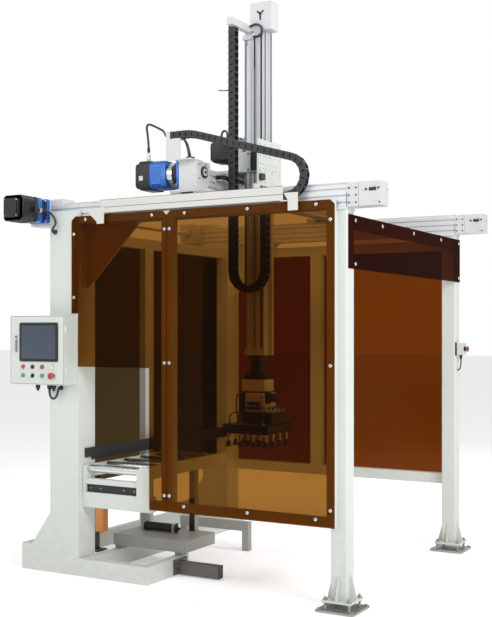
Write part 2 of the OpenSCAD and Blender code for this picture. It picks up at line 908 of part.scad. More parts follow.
// Tray for the long chain, with its brackets to the front module

module cable_tray() {
  rear_top = beam_top - 2;
  plate = 4;
  left = tray_x0 + 30;
  right = tray_x1 + 6;
  low = frame_h - 7;
  high = frame_h + 94;
  color(cream) {
    block([tray_x0, tray_y0, tray_z0], [tray_x1, tray_y1 - 1, tray_z0 + sheet]);
    block([tray_x0, tray_y0, tray_z0], [tray_x1, tray_y0 + sheet, tray_z0 + tray_h]);
    block([tray_x0, tray_y1 - 1 - sheet, tray_z0], [tray_x1, tray_y1 - 1, rear_top]);
    tray_bracket(plate, [
      [left - 149, high - 9], [left, high - 6], [left, low - 7], [left - 55, low - 7], [left - 55, low + 6]
    ]);
    tray_bracket(plate, [
      [right, high], [right + 89, high], [right + 89, low], [right + 26, low], [right + 26, low + 59]
    ]);
    for (x = [tray_x0 - 50, tray_x1 - 20])
      block([x, tray_y0 - 1, tray_z0 - 6], [x + 80, tray_y1, tray_z0]);
  }
}

module tray_bracket(t, outline) {
  translate([0, tray_y0, 0])
    rotate([90, 0, 0])
      linear_extrude(t)
        polygon(outline);
}

// Operator panel

module hmi_box() {
  recess = 2;
  color(paint) {
    difference() {
      front_box([hmi_x0, hmi_y0, hmi_z0], [hmi_x1, front_y, hmi_z0 + hmi_h], 12);
      block([screen_x0 - 3, hmi_y0 - eps, screen_z0 - 3], [screen_x1 + 3, hmi_y0 + recess, screen_z1 + 3]);
      for (i = moving_controls)
        translate([control_places[i][0], hmi_y0 - eps, control_places[i][1]])
          rotate([-90, 0, 0])
            cylinder(d = stem_d + 2 * clearance, h = stem_l + 10);
    }
    for (x = [hmi_socket[0] - 95, hmi_socket[0], hmi_socket[0] + 34])
      translate([x, hmi_socket[1], hmi_socket[2]])
        cylinder(d = gland_d, h = hmi_z0 - hmi_socket[2] + 1);
  }
}
screen_x0 = hmi_x0 + 80;
screen_x1 = hmi_x1 - 48;
screen_z0 = hmi_z0 + 148;
screen_z1 = hmi_z0 + hmi_h - 46;
stem_d = 16;
stem_l = 30;
moving_controls = [2, 5, 6, 7];
control_places = [
  for (z = [lamp_row_1, lamp_row_2], i = [0 : 3]) [lamp_x + i * lamp_pitch, z]
];

module hmi_screen() {
  frame = 14;
  color([0.28, 0.33, 0.38])
    difference() {
      block([screen_x0, hmi_y0 - 6, screen_z0], [screen_x1, hmi_y0 + 2, screen_z1]);
      block([screen_x0 + frame, hmi_y0 - 7, screen_z0 + frame],
        [screen_x1 - frame, hmi_y0 - 4, screen_z1 - frame]);
    }
}

// A control on the operator panel's face: a stem in its bore and a cap in front
module control(p, cap_d, cap_h, travel) {
  translate([p[0], hmi_y0, p[1]])
    rotate([90, 0, 0]) {
      translate([0, 0, -stem_l])
        cylinder(d = stem_d, h = stem_l + travel);
      translate([0, 0, travel])
        cylinder(d = cap_d, h = cap_h);
    }
}

module indicator_lamps() {
  color("firebrick") {
    for (i = [0, 1, 3, 4])
      translate([control_places[i][0], hmi_y0, control_places[i][1]])
        rotate([90, 0, 0]) {
          cylinder(d = button_d, h = 5);
          cylinder(d = button_d - 6, h = 12);
        }
  }
}

module selector_knob() {
  p = control_places[5];
  color(black) {
    control(p, button_d, 6, clearance);
    translate([p[0], hmi_y0 - 6 - clearance, p[1]])
      rotate([90, 0, 0])
        linear_extrude(14)
          square([8, button_d - 4], center = true);
  }
}

module red_button() {
  color("red")
    control(control_places[2], button_d - 4, 8, 5);
}

module green_button() {
  color("green")
    control(control_places[6], button_d - 4, 8, 5);
}

module hmi_estop_button() {
  p = control_places[7];
  color("red") {
    control(p, button_d - 4, 12, 8);
    translate([p[0], hmi_y0 - 20, p[1]])
      rotate([90, 0, 0])
        cylinder(d = button_d + 14, h = 14);
  }
}

// Emergency stop on the rear right post

module estop_box() {
  box_d = 52;
  color(paint)
    difference() {
      block([estop_x0, span_y - estop_box_w / 2, estop_z - 42],
        [estop_x0 + box_d, span_y + estop_box_w / 2, estop_z + 42]);
      translate([estop_x0 + 10, span_y, estop_z])
        rotate([0, 90, 0])
          cylinder(d = stem_d + 2 * clearance, h = box_d);
    }
}

module rear_estop_button() {
  color("red")
    translate([estop_x0 + 52, span_y, estop_z])
      rotate([0, 90, 0]) {
        translate([0, 0, -stem_l])
          cylinder(d = stem_d, h = stem_l + 8);
        translate([0, 0, 8])
          cylinder(d = 40, h = 22);
      }
}

// Conveyor

module conveyor_frame() {
  rail_z0 = axle_z - 55;
  rail_z1 = axle_z + 24;
  bracket_x0 = conveyor_x1;
  cross_z0 = panel_low - 29;
  cross_z1 = panel_low + 66;
  color(paint) {
    difference() {
      for (x = [conveyor_x0, conveyor_x1 - side_rail_t])
        block([x, conveyor_y0, rail_z0], [x + side_rail_t, conveyor_y1, rail_z1]);
      for (i = [0 : roller_count - 1])
        translate([conveyor_x0 - eps, i * roller_pitch, axle_z])
          rotate([0, 90, 0])
            cylinder(d = axle_d + 2 * running, h = conveyor_x1 - conveyor_x0 + 2 * eps);
    }
    block([conveyor_x0 + side_rail_t - 1, conveyor_y0 + 10, rail_z0 - 40],
      [conveyor_x1 - side_rail_t + 1, conveyor_y0 + 45, rail_z0 - 5]);
    for (x = [conveyor_x0, conveyor_x1 - side_rail_t])
      block([x, conveyor_y0, cross_z1 - 1], [x + side_rail_t, conveyor_y0 + 60, rail_z0 + 1]);
    block([conveyor_x0 - 3, conveyor_y0, cross_z0], [bracket_x0 + bracket_w, conveyor_y0 + 60, cross_z1]);
    block([bracket_x0, conveyor_y0, cross_z0], [bracket_x0 + bracket_w, conveyor_y0 + 10, conveyor_h + 10]);
    block([conveyor_x0 + side_rail_t - 1, conveyor_y1 - 50, rail_z0 - 8],
      [conveyor_x1 - side_rail_t + 1, conveyor_y1, axle_z - roller_d / 2 - 4]);
  }
}

module roller(i) {
  reach = conveyor_x1 - conveyor_x0 - 8;
  color(silver)
    translate([0, (i - 1) * roller_pitch, axle_z])
      rotate([0, 90, 0]) {
        translate([0, 0, roller_x0])
          cylinder(d = roller_d, h = roller_l);
        translate([0, 0, conveyor_x0 + 4])
          cylinder(d = axle_d, h = reach);
      }
}

// Stand behind the infeed: legs, shelf box, cylinder and the cross bar behind

module conveyor_stand() {
  leg = 45;
  pad_y = stand_y0 + 20;
  far_y = 1090;
  far_z0 = base_h + 28;
  color(paint) {
    block([inner_rail_x1 - base_bar_w, stand_y0, stand_z0], [stand_x1, stand_y1, stand_z1]);
    block([inner_rail_x1 - base_bar_w, pad_y, base_h], [inner_rail_x1 - 5, pad_y + 60, stand_z0]);
    block([shoe_right - base_bar_w, pad_y, base_h], [shoe_right, pad_y + 60, stand_z0]);
    for (x = [conveyor_x0, conveyor_x1 - leg])
      block([x, stand_y1 - leg, stand_z1 - 1], [x + leg, stand_y1, axle_z - 55]);
    block([inner_rail_x1 - base_bar_w, far_y, far_z0], [stand_x1, far_y + 50, far_z0 + 64]);
    block([inner_rail_x1 - base_bar_w, far_y, base_h], [inner_rail_x1 - 5, far_y + 50, far_z0]);
    block([stand_x1 - 50, far_y, 0], [stand_x1, far_y + 50, far_z0]);
    translate([conveyor_x0 + 120, stand_y0 + 200, stand_z1 + 32])
      rotate([0, 90, 0])
        cylinder(d = 56, h = 240);
    for (x = [conveyor_x0 + 110, conveyor_x0 + 350])
      block([x, stand_y0 + 168, stand_z1 - 1], [x + 14, stand_y0 + 232, stand_z1 + 64]);
  }
}

// Low friction guide along the left side of the conveyor

module guide_rail() {
  z0 = conveyor_h + 46;
  color(black) {
    block([column_x1, front_y + 62, z0], [column_x1 + 18, span_y + front_y + 40, z0 + 58]);
    block([column_x1, -front_y - 40, z0 - 20], [column_x1 + 10, span_y + front_y + 40, z0]);
  }
}

module pallet_stop() {
  plate = 10;
  y0 = 245;
  z0 = 5;
  z1 = 85;
  color(paint) {
    block([shoe_right, y0 - 45, 6], [shoe_right + plate, y0 + 100, base_h - 8]);
    block([shoe_right + plate, y0, z0], [shoe_right + 304, y0 + 55, z1]);
    for (y = [y0 - 22, y0 + 78], z = [30, 76])
      translate([shoe_right + plate - 1, y, z])
        rotate([0, 90, 0])
          cylinder(d = 16, h = 8);
  }
}

// Photocell post beside the infeed

module light_post() {
  x0 = column_x0 - 178;
  post = 32;
  y0 = 575;
  top = 540;
  box_z0 = stand_z0 + 1;
  box_z1 = 430;
  color("darkorange") {
    block([x0, y0, 8], [x0 + post, y0 + 50, top]);
    block([x0, y0 - 30, 0], [x0 + 80, y0 + 80, 8]);
    block([x0 + post, y0 - 5, box_z0], [x0 + post + 74, y0 + 55, box_z1]);
  }
}

// Bridge

module bridge_beam() {
  y0 = bridge_front + bridge_drive_l;
  y1 = bridge_y1 - bridge_rear_l;
  shelf_w = y_chain_w + 7;
  shelf_y0 = y_chain_fixed_y - 15;
  color(silver) {
    translate([bridge_x0, y1, bridge_z0])
      rotate([90, 0, 0])
        linear_extrude(y1 - y0)
          beam_section(beam_w, beam_h);
    for (side = [-1, 1])
      translate([bridge_x + side * rail_gauge / 2, y1 - 4, bridge_z1])
        rotate([90, 0, 0])
          linear_extrude(y1 - y0 - 8)
            rail_section();
    block([bridge_x - 12, y0 + 2, bridge_z1], [bridge_x + 12, y1 - 2, bridge_z1 + 4]);
    block([bridge_x1 - 1, shelf_y0, y_shelf_z], [bridge_x1 + shelf_w, y1, y_shelf_z + 4]);
    block([bridge_x1 - 1, shelf_y0, y_shelf_z - 22], [bridge_x1 + 3, y1, y_shelf_z + 1]);
  }
}

module bridge_boxes() {
  side = 6;
  y0 = bridge_y1 - bridge_rear_l;
  color(silver) {
    block([bridge_x0 - side, bridge_front, bridge_z0],
      [bridge_x1 + side, bridge_front + bridge_drive_l, bridge_z0 + bridge_drive_h]);
    translate([bridge_x1 + side - 1, bridge_axis_y, bridge_axis_z])
      rotate([0, 90, 0]) {
        cylinder(d = 72, h = 7);
        cylinder(d = 44, h = 13);
      }
    for (y = [14, bridge_drive_l - 14], z = [14, bridge_drive_h - 14])
      translate([bridge_x1 + side - 1, bridge_front + y, bridge_z0 + z])
        rotate([0, 90, 0])
          cylinder(d = 12, h = 6);
    block([bridge_x0 - side, y0, bridge_z0], [bridge_x1 + side, bridge_y1, bridge_z1 + 24]);
  }
}

module y_motor() {
  color(blue)
    translate([bridge_x0 - 6, bridge_axis_y, bridge_axis_z])
      rotate([0, -90, 0])
        servo([171, 24], [148, 84], [160, 20], [172, 94], [180, 110]);
  color(black)
    lead_socket(y_socket, bridge_axis_z);
}

// Saddles: plates on four bearing blocks each, and the long chain's bracket

module bridge_saddles() {
  half = saddle_l / 2;
  block_l = 70;
  deck = bridge_z0 + bridge_drive_h;
  seat = x_chain_top() - chain_h / 2 - clearance;
  color(silver) {
    for (y = [0, span_y]) {
      block([bridge_x - half, y - 62, block_top], [bridge_x + half, y + 62, saddle_top]);
      for (side = [-1, 1], x = [-half + 4, half - 4 - block_l])
        translate([bridge_x + x, y + side * rail_gauge / 2, beam_top])
          rotate([90, 0, 90])
            linear_extrude(block_l)
              bearing_section(block_top - beam_top);
    }
    block([bridge_x0 - 6, tray_y0 + 2, deck], [bridge_x1 + 6, 20, deck + 6]);
    block([lead_clamp_x, tray_y0 + 2, deck], [bridge_x0 + 40, tray_y0 + 8, seat]);
    block([lead_clamp_x, tray_y0 + 2, seat - 6], [bridge_x0 + 40, tray_y1 - 4, seat]);
    block([lead_clamp_x, tray_y0 + 2, seat - 1],
      [x_chain_start + x_chain_path()[x_chain_links][0] - clearance, tray_y1 - 4, seat + chain_h]);
  }
}

// Long chain, from its tray to the bridge
function x_chain_path() = chain_path(
  x_chain_bend_x - x_chain_start, bend_r, x_chain_slope, x_chain_climb, x_chain_level, x_chain_links
);
function x_chain_top() = x_chain_z + x_chain_path()[x_chain_links][1];

module x_chain() {
  color(black)
    translate([x_chain_start, (tray_y0 + tray_y1 - 1) / 2, x_chain_z])
      chain(x_chain_path(), chain_h, chain_w - 6);
}

// Short chain, from the bridge's shelf to the carriage
y_chain_links = 48;
y_chain_z = y_shelf_z + 4 + clearance + small_chain_h / 2;

module y_chain() {
  bed = y_chain_bend_y - y_chain_fixed_y;
  back = y_chain_bend_y - y_chain_end_y;
  color(black)
    translate([bridge_x1 + y_chain_w / 2 + 4, y_chain_fixed_y, y_chain_z])
      rotate([0, 0, 90])
        chain(chain_path(bed, small_bend_r, 0, back, 0, y_chain_links), small_chain_h, y_chain_w);
}

// Connector that stands on a motor and ends under its lead
module lead_socket(p, axis_z) {
  depth = 60;
  translate([p[0], p[1], axis_z + depth])
    cylinder(d = gland_d, h = p[2] - axis_z - depth);
}

// Carriage on the bridge, which guides the mast

module z_carriage() {
  t = plate_t;
  saddle_x0 = bridge_x - 66;
  block_l = 76;
  low = bridge_z1 - 73;
  front_y0 = carriage_y0;
  rear_y0 = mast_y1 + 10;
  rear_y1 = rear_y0 + 80;
  top = bridge_z1 + 232;
  chain_seat = y_chain_z + 2 * small_bend_r - small_chain_h / 2;
  color(paint) {
    block([saddle_x0, front_y0 - 12, y_block_top], [carriage_x0 + t, rear_y1, carriage_plate_top]);
    for (side = [-1, 1], y = [front_y0 - 8, rear_y1 - block_l - 4])
      translate([bridge_x + side * rail_gauge / 2, y + block_l, bridge_z1])
        rotate([90, 0, 0])
          linear_extrude(block_l)
            bearing_section(y_block_top - bridge_z1);
    block([carriage_x0, front_y0, y_block_top], [carriage_x0 + t, rear_y1, top]);
    block([carriage_x1 - t, right_plate_y0, low], [carriage_x1, rear_y1 - 20, top - 20]);
    block([carriage_x0, front_y0, y_block_top], [carriage_x1 - t, front_y0 + t, top - 80]);
    block([carriage_x0, rear_y0, y_block_top + 5], [carriage_x1 - t, rear_y1, top - 10]);
    for (x = [mast_x0 + 34, mast_x1 - 36], z = [y_block_top + 6, top - 170])
      translate([x, front_y0 + t + block_gap, z])
        rotate([0, 0, 180])
          linear_extrude(84)
            bearing_section(block_gap);
    for (y = [front_y0 - 60, front_y0, mast_y, rear_y1 - 45], z = [low + 25, low + 90, top - 120, top - 45])
      translate([carriage_x1 - 1, y, z])
        rotate([0, 90, 0])
          cylinder(d = 12, h = 6);
    block([carriage_x1 - t, z_chain_y - 20, chain_bracket_z],
      [carriage_x1, right_plate_y0 + 24, low + 1]);
    block([carriage_x1, z_chain_y - 20, chain_bracket_z],
      [z_chain_right + 21, z_chain_y + 20, chain_bracket_z + 8]);
    block([bridge_x1 + 4, y_chain_end_y - 40, carriage_plate_top - 1],
      [bridge_x1 + 4 + y_chain_w, y_chain_end_y - clearance, chain_seat]);
    block([bridge_x1 + 4, y_chain_end_y - 40, chain_seat - 1],
      [bridge_x1 + 4 + y_chain_w, y_chain_end_y - clearance, chain_seat + small_chain_h]);
  }
}

module z_motor() {
  color(blue)
    translate([carriage_x0, z_motor_y, z_motor_z])
      rotate([0, -90, 0])
        servo([150, 26], [164, 28], [150, 24], [164, 130], [144, 76]);
  color(black)
    for (p = [z_motor_lead[0], z_motor_lead[len(z_motor_lead) - 1]])
      lead_socket(p, z_motor_z);
}

// Mast

module mast_section(w) {
  slot = 9;
  difference() {
    square([w, mast_d]);
    for (y = [mast_d * 0.5, mast_d * 0.82])
      translate([w - slot, y - 5])
        square([slot + eps, 10]);
    for (x = [w * 0.28, w * 0.72])
      translate([x - 4, mast_d - slot])
        square([8, slot + eps]);
    translate([w * 0.25, mast_d * 0.25])
      square([w * 0.4, mast_d * 0.5]);
  }
}

module mast() {
  duct_z1 = bridge_z1 - 90;
  color(silver) {
    translate([mast_x0, mast_y0, mast_z0])
      linear_extrude(mast_left_top - mast_z0)
        mast_section(mast_left_w);
    translate([mast_x, mast_y0, mast_z0])
      linear_extrude(mast_z1 - mast_z0)
        mast_section(mast_right_w);
    for (x = [mast_x0 + 34, mast_x1 - 36])
      translate([x, mast_y0, mast_z0 + 40])
        rotate([0, 0, 180])
          linear_extrude(mast_left_top - mast_z0 - 80)
            rail_section();
    block([mast_x1 - 1, mast_y1 - 32, mast_z0], [mast_x1 + 12, mast_y1 - 2, duct_z1]);
  }
}

module mast_head() {
  box_x0 = mast_x - 30;
  box_x1 = mast_x1 + 46;
  box_h = 176;
  arm_x0 = mast_x0 + 2;
  arm_w = 40;
  color(silver) {
    difference() {
      block([box_x0, mast_y - 50, mast_z1], [box_x1, mast_y + 50, mast_z1 + box_h]);
      translate([(box_x0 + box_x1) / 2, mast_y - 40, mast_z1 + box_h - 74])
        rotate([90, 0, 0])
          linear_extrude(20)
            cable_slot();
    }
    block([arm_x0, mast_y - 278, arm_z0], [arm_x0 + arm_w, mast_y - 28, arm_z0 + 45]);
    block([arm_x0, mast_y - 50, mast_left_top], [arm_x0 + arm_w, mast_y - 28, arm_z0 + 1]);
    block([mast_x0 - 5, mast_y0 - 18, mast_left_top], [mast_x, mast_y - 49, mast_left_top + 28]);
  }
}

// Three-armed opening in the head box
module cable_slot() {
  for (a = [90, 215, 325])
    rotate(a)
      translate([0, -6])
        square([38, 12]);
  circle(10);
}

// Hanging chain in front of the mast. It starts under the arm on the left,
// runs down, bends and climbs to the bracket on the right carriage plate.
z_chain_bed = arm_z0 - clearance - z_chain_bend;
z_chain_back = chain_bracket_z - clearance - z_chain_bend;
z_chain_links = 54;

module z_chain() {
  color(black)
    translate([z_chain_left, z_chain_y, z_chain_bend + z_chain_bed])
      rotate([0, 90, 0])
        chain(chain_path(z_chain_bed, bend_r, 0, z_chain_back, 0, z_chain_links), chain_h, z_chain_w - 6);
}

// Gripper

module gripper_head() {
  swivel_z = mast_z0 - clearance;
  half = gripper_plate / 2;
  x = gripper_x;
  y = mast_y;
  color(black) {
    translate([x, y, swivel_z - 18])
      cylinder(d = 120, h = 18);
    translate([x, y, gripper_top - 60])
      cylinder(d = 84, h = swivel_z - 18 - gripper_top + 61);
    block([x - 70, y - 55, gripper_z + 250], [x + 70, y + 55, gripper_top - 59]);
    block([x - 92, y - 78, gripper_z + 130], [x + 92, y + 78, gripper_z + 251]);
    block([x - 62, y - 96, gripper_z + 54], [x + 150, y + 96, gripper_z + 131]);
    linear_plate(x, y, half);
    for (i = [0 : 3])
      translate([x + 112, y - 40, gripper_z + 200 + i * 13])
        rotate_extrude()
          translate([34, 0])
            circle(d = 11);
    block([x + 91, y - 70, gripper_z + 185], [x + 106, y - 10, gripper_z + 260]);
    for (dx = [90, 118, 146], dy = [-70, 0, 70])
      translate([x + dx, y + dy, gripper_z + 130])
        cylinder(d = 18, h = 40);
    for (dx = [-120, -60, 0, 60, 120])
      translate([x + dx, y - half + 18, gripper_z + 54])
        cylinder(d = 20, h = 26);
  }
}

module linear_plate(x, y, half) {
  difference() {
    block([x - half, y - half, gripper_z], [x + half, y + half, gripper_z + 55]);
    block([x - half + 14, y - half - eps, gripper_z + 16], [x + half - 14, y - half + 10, gripper_z + 40]);
    block([x + half - 10, y - half + 14, gripper_z + 16], [x + half + eps, y + half - 14, gripper_z + 40]);
  }
}

module suction_cups() {
  pitch = (gripper_plate - 60) / 3;
  fall = 84;
  color([0.15, 0.15, 0.16])
    for (i = [-1.5 : 1.5], j = [-1.5 : 1.5])
      translate([gripper_x + i * pitch, mast_y + j * pitch, gripper_z]) {
        translate([0, 0, -48])
          cylinder(d = 10, h = 48);
        translate([0, 0, -fall])
          rotate_extrude()
            polygon([
              [0, 8], [5, 8], [cup_d * 0.5, 0], [cup_d * 0.5, 4], [cup_d * 0.34, 14], [cup_d * 0.44, 20],
              [cup_d * 0.3, 28], [cup_d * 0.3, 36.5], [0, 36.5]
            ]);
      }
}

// Cords

module x_motor_cable() {
  color(black)
    cord(x_motor_lead, lead_d, lead_sides);
}

module hmi_cable() {
  color(black)
    cord(hmi_lead, lead_d, lead_sides);
}

module y_motor_cable() {
  color(black)
    cord(y_motor_lead, lead_d, lead_sides);
}

module z_motor_cable() {
  color(black)
    cord(z_motor_lead, lead_d, lead_sides);
}

module mast_hose() {
  color(black)
    cord(mast_lead, lead_d, lead_sides);
}

// Moves a node from the drawing point to stand centred on the origin
module placed() {
  translate([move_x, move_y, 0])
    children();
}

placed() base_frame();
placed() front_left_column();
placed() rear_left_column();
placed() column_braces();
placed() front_right_post();
placed() rear_right_post();
placed() levelling_feet();
placed() side_rails();
placed() front_panel_frame();
placed() rear_panel_frame();
placed() front_left_panel();
placed() front_right_panel();
placed() right_panel();
placed() rear_panel();
placed() left_panels();
placed() panel_bolts();
placed() front_x_beam();
placed() rear_x_beam();
placed() x_axis_boxes();
placed() x_motor();
placed() cable_tray();
placed() hmi_box();
placed() hmi_screen();
placed() indicator_lamps();
placed() estop_box();
placed() conveyor_frame();
placed() conveyor_stand();
placed() guide_rail();
placed() pallet_stop();
placed() light_post();
placed() x_motor_cable();
placed() hmi_cable();
placed() selector_knob();
placed() green_button();
placed() red_button();
placed() hmi_estop_button();
placed() rear_estop_button();
placed() roller(1);  // roller_1
placed() roller(2);  // roller_2
placed() roller(3);  // roller_3
placed() roller(4);  // roller_4
placed() roller(5);  // roller_5
placed() roller(6);  // roller_6
placed() connecting_shaft();
placed() bridge_beam();
placed() bridge_boxes();
placed() y_motor();
placed() y_motor_cable();
placed() bridge_saddles();
placed() x_chain();
placed() z_carriage();
placed() z_motor();
placed() z_motor_cable();
placed() y_chain();
placed() mast();
placed() mast_head();
placed() mast_hose();
placed() z_chain();
placed() gripper_head();
placed() suction_cups();
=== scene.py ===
"""Looks of a gantry palletizer cell: painted frame, tinted guards, servo drives,
cable chains, operator panel, infeed rollers and a vacuum gripper.

Lengths are millimetres from the drawing point, the front right post's axis on
the floor: +X is right of the front, +Y is towards the back, +Z is up. Finishes
and softboxes have their sizes in metres.
"""

import json
import math
from contextlib import contextmanager

import bmesh
import bpy
from mathutils import Matrix, Vector

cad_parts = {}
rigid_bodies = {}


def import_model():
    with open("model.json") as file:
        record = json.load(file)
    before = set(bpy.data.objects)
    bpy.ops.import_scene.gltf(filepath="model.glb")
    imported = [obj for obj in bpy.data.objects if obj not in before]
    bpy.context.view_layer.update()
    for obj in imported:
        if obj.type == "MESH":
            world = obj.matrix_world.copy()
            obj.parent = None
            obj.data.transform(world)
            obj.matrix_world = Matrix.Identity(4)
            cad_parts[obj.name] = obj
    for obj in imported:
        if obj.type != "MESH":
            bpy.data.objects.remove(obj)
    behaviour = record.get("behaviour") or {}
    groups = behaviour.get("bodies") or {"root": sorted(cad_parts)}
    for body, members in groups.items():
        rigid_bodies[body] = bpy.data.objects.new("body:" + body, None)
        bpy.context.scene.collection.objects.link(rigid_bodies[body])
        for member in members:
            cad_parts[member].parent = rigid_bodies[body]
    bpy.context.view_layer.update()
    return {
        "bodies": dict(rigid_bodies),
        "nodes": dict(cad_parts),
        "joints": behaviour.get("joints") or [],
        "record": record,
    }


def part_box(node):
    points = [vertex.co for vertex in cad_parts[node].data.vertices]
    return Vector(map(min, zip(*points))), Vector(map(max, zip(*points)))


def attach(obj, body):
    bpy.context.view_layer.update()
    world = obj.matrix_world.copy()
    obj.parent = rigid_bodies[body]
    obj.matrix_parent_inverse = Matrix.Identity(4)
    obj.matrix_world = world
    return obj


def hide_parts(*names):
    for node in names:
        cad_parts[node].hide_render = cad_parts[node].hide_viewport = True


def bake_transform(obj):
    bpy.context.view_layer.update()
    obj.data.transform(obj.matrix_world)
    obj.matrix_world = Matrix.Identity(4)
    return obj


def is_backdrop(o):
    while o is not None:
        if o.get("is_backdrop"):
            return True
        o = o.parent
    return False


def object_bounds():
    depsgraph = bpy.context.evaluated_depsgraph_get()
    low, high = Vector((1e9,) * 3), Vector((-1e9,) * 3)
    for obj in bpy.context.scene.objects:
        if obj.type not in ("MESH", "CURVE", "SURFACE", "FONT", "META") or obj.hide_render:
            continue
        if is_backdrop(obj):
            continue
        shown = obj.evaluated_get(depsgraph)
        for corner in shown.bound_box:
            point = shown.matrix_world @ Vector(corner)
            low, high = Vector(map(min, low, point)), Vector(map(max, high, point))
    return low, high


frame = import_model()

MM = 0.001
post_low, post_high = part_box("front_right_post")
drawing_point = Vector(((post_low.x + post_high.x) / 2, (post_low.y + post_high.y) / 2, 0))


def at(p):
    """A point in millimetres, in the frame's metres."""
    return drawing_point + Vector(p) * MM


def corners(node):
    """The lowest and highest corner of a CAD node in millimetres."""
    return [(p - drawing_point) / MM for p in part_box(node)]


def middle(node):
    low, high = corners(node)
    return (low + high) / 2


def show(thing):
    bpy.context.scene.collection.objects.link(thing)


# Camera, level, at the photograph's height

camera = bpy.data.objects.new("camera", bpy.data.cameras.new("camera"))
show(camera)
camera.location = at((2421, -5359, 1550))
camera.rotation_euler = (math.radians(90), 0, math.radians(29.56))
camera.data.lens = 61.28
camera.data.sensor_width = 36
camera.data.shift_y = 0.0373
bpy.context.scene.camera = camera


# Materials

def feed(node, inputs):
    """Sets each input of a node to a value, or wires another node's output to it."""
    for name, value in inputs.items():
        if isinstance(value, bpy.types.NodeSocket):
            node.id_data.links.new(value, node.inputs[name])
        else:
            node.inputs[name].default_value = value


def make(tree, kind, inputs=None, **settings):
    """Adds a shader node and gives its outputs."""
    node = tree.nodes.new("ShaderNode" + kind)
    for name, value in settings.items():
        setattr(node, name, value)
    feed(node, inputs or {})
    return node.outputs


def empty_material(name):
    m = bpy.data.materials.new(name)
    m.use_nodes = True
    return m, m.node_tree


def mottled(tree, colour, by, noise):
    """A colour that wanders to a share darker and lighter with a noise."""
    darker, lighter = [(*[min(1, c * k) for c in colour], 1) for k in (1 - by, 1 + by)]
    return make(tree, "Mix", {"Factor": noise, "A": darker, "B": lighter}, data_type="RGBA")["Result"]


def over(tree, under, colour, amount, noise):
    """Lays a colour over another one, in an amount that a noise breaks up."""
    broken = make(tree, "Math", {0: amount, 1: noise}, operation="MULTIPLY")["Value"]
    return make(tree, "Mix", {"Factor": broken, "A": under, "B": (*colour, 1)}, data_type="RGBA")["Result"]


DUST = (0.22, 0.19, 0.15)


def surface(name, colour, roughness, metallic=0.0, mottle=0.08, patch=3.0, grain=500, depth=0.0002,
            stretch=(1, 1, 1), edge=0.0012, worn=None, wear=0.6, coat=0.0, grime=0.0):
    """A finish with cloudy colour, uneven gloss, a fine relief and softened, slightly worn edges."""
    m, tree = empty_material(name)
    where = make(tree, "TexCoord")["Object"]
    clouds = make(tree, "TexNoise", {"Vector": where, "Scale": patch, "Detail": 6, "Roughness": 0.65})["Fac"]
    shade = mottled(tree, colour, mottle, clouds)
    glossy, matt = max(0.03, roughness - 0.10), min(1, roughness + 0.10)
    gloss = make(tree, "MapRange", {"Value": clouds, "To Min": glossy, "To Max": matt})["Result"]
    drawn = make(tree, "Mapping", {"Vector": where, "Scale": stretch})["Vector"]
    fine = make(tree, "TexNoise", {"Vector": drawn, "Scale": grain, "Detail": 3})["Fac"]
    relief = {"Height": fine, "Strength": 0.5, "Distance": depth}
    if edge:
        soft = make(tree, "Bevel", {"Radius": edge}, samples=4)["Normal"]
        relief["Normal"] = soft
        if worn:
            true = make(tree, "NewGeometry")["Normal"]
            across = make(tree, "VectorMath", {0: soft, 1: true}, operation="DOT_PRODUCT")["Value"]
            rub = {"Value": across, "From Min": 0.97, "From Max": 0.80, "To Max": wear}
            shade = over(tree, shade, worn, make(tree, "MapRange", rub)["Result"], clouds)
    if grime:
        spots = make(tree, "TexNoise", {"Vector": where, "Scale": patch * 9, "Detail": 8})["Fac"]
        height = make(tree, "SeparateXYZ", {"Vector": where})["Z"]
        low = {"Value": height, "From Min": 0.9, "From Max": 0.0, "To Max": grime}
        shade = over(tree, shade, DUST, make(tree, "MapRange", low)["Result"], spots)
    shader = tree.nodes["Principled BSDF"]
    feed(shader, {"Base Color": shade, "Metallic": metallic, "Roughness": gloss,
                  "Normal": make(tree, "Bump", relief)["Normal"]})
    if coat:
        feed(shader, {"Coat Weight": coat, "Coat Roughness": 0.12})
    return m


def tinted_sheet(name, tint, gloss=0.09):
    """See-through plastic sheet: the light is dyed at each face and the surface mirrors at a glance."""
    m, tree = empty_material(name)
    tree.nodes.remove(tree.nodes["Principled BSDF"])
    where = make(tree, "TexCoord")["Object"]
    clouds = make(tree, "TexNoise", {"Vector": where, "Scale": 2.5, "Detail": 5})["Fac"]
    haze = make(tree, "MapRange", {"Value": clouds, "To Min": gloss, "To Max": gloss + 0.12})["Result"]
    steep = make(tree, "Math", {0: make(tree, "LayerWeight")["Facing"], 1: 5}, operation="POWER")["Value"]
    share = make(tree, "MapRange", {"Value": steep, "To Min": 0.04})["Result"]
    through = make(tree, "BsdfTransparent", {"Color": mottled(tree, tint, 0.07, clouds)})["BSDF"]
    mirror = make(tree, "BsdfGlossy", {"Color": (0.10, 0.09, 0.08, 1), "Roughness": haze})["BSDF"]
    both = make(tree, "MixShader", {"Fac": share, 1: through, 2: mirror})["Shader"]
    feed(tree.nodes["Material Output"], {"Surface": both})
    return m


def anodised(name, colour, metallic, stretch):
    """A drawn profile, with its grain along the bar."""
    return surface(name, colour, 0.38, metallic=metallic, mottle=0.04, grain=800, stretch=stretch,
                   depth=0.00006, edge=0.0008, worn=(0.9, 0.9, 0.92))


def moulded(name, colour, roughness, mottle=0.08, coat=0.0):
    """Plastic of a button or a lens."""
    return surface(name, colour, roughness, mottle=mottle, patch=30, edge=0.0006, coat=coat)


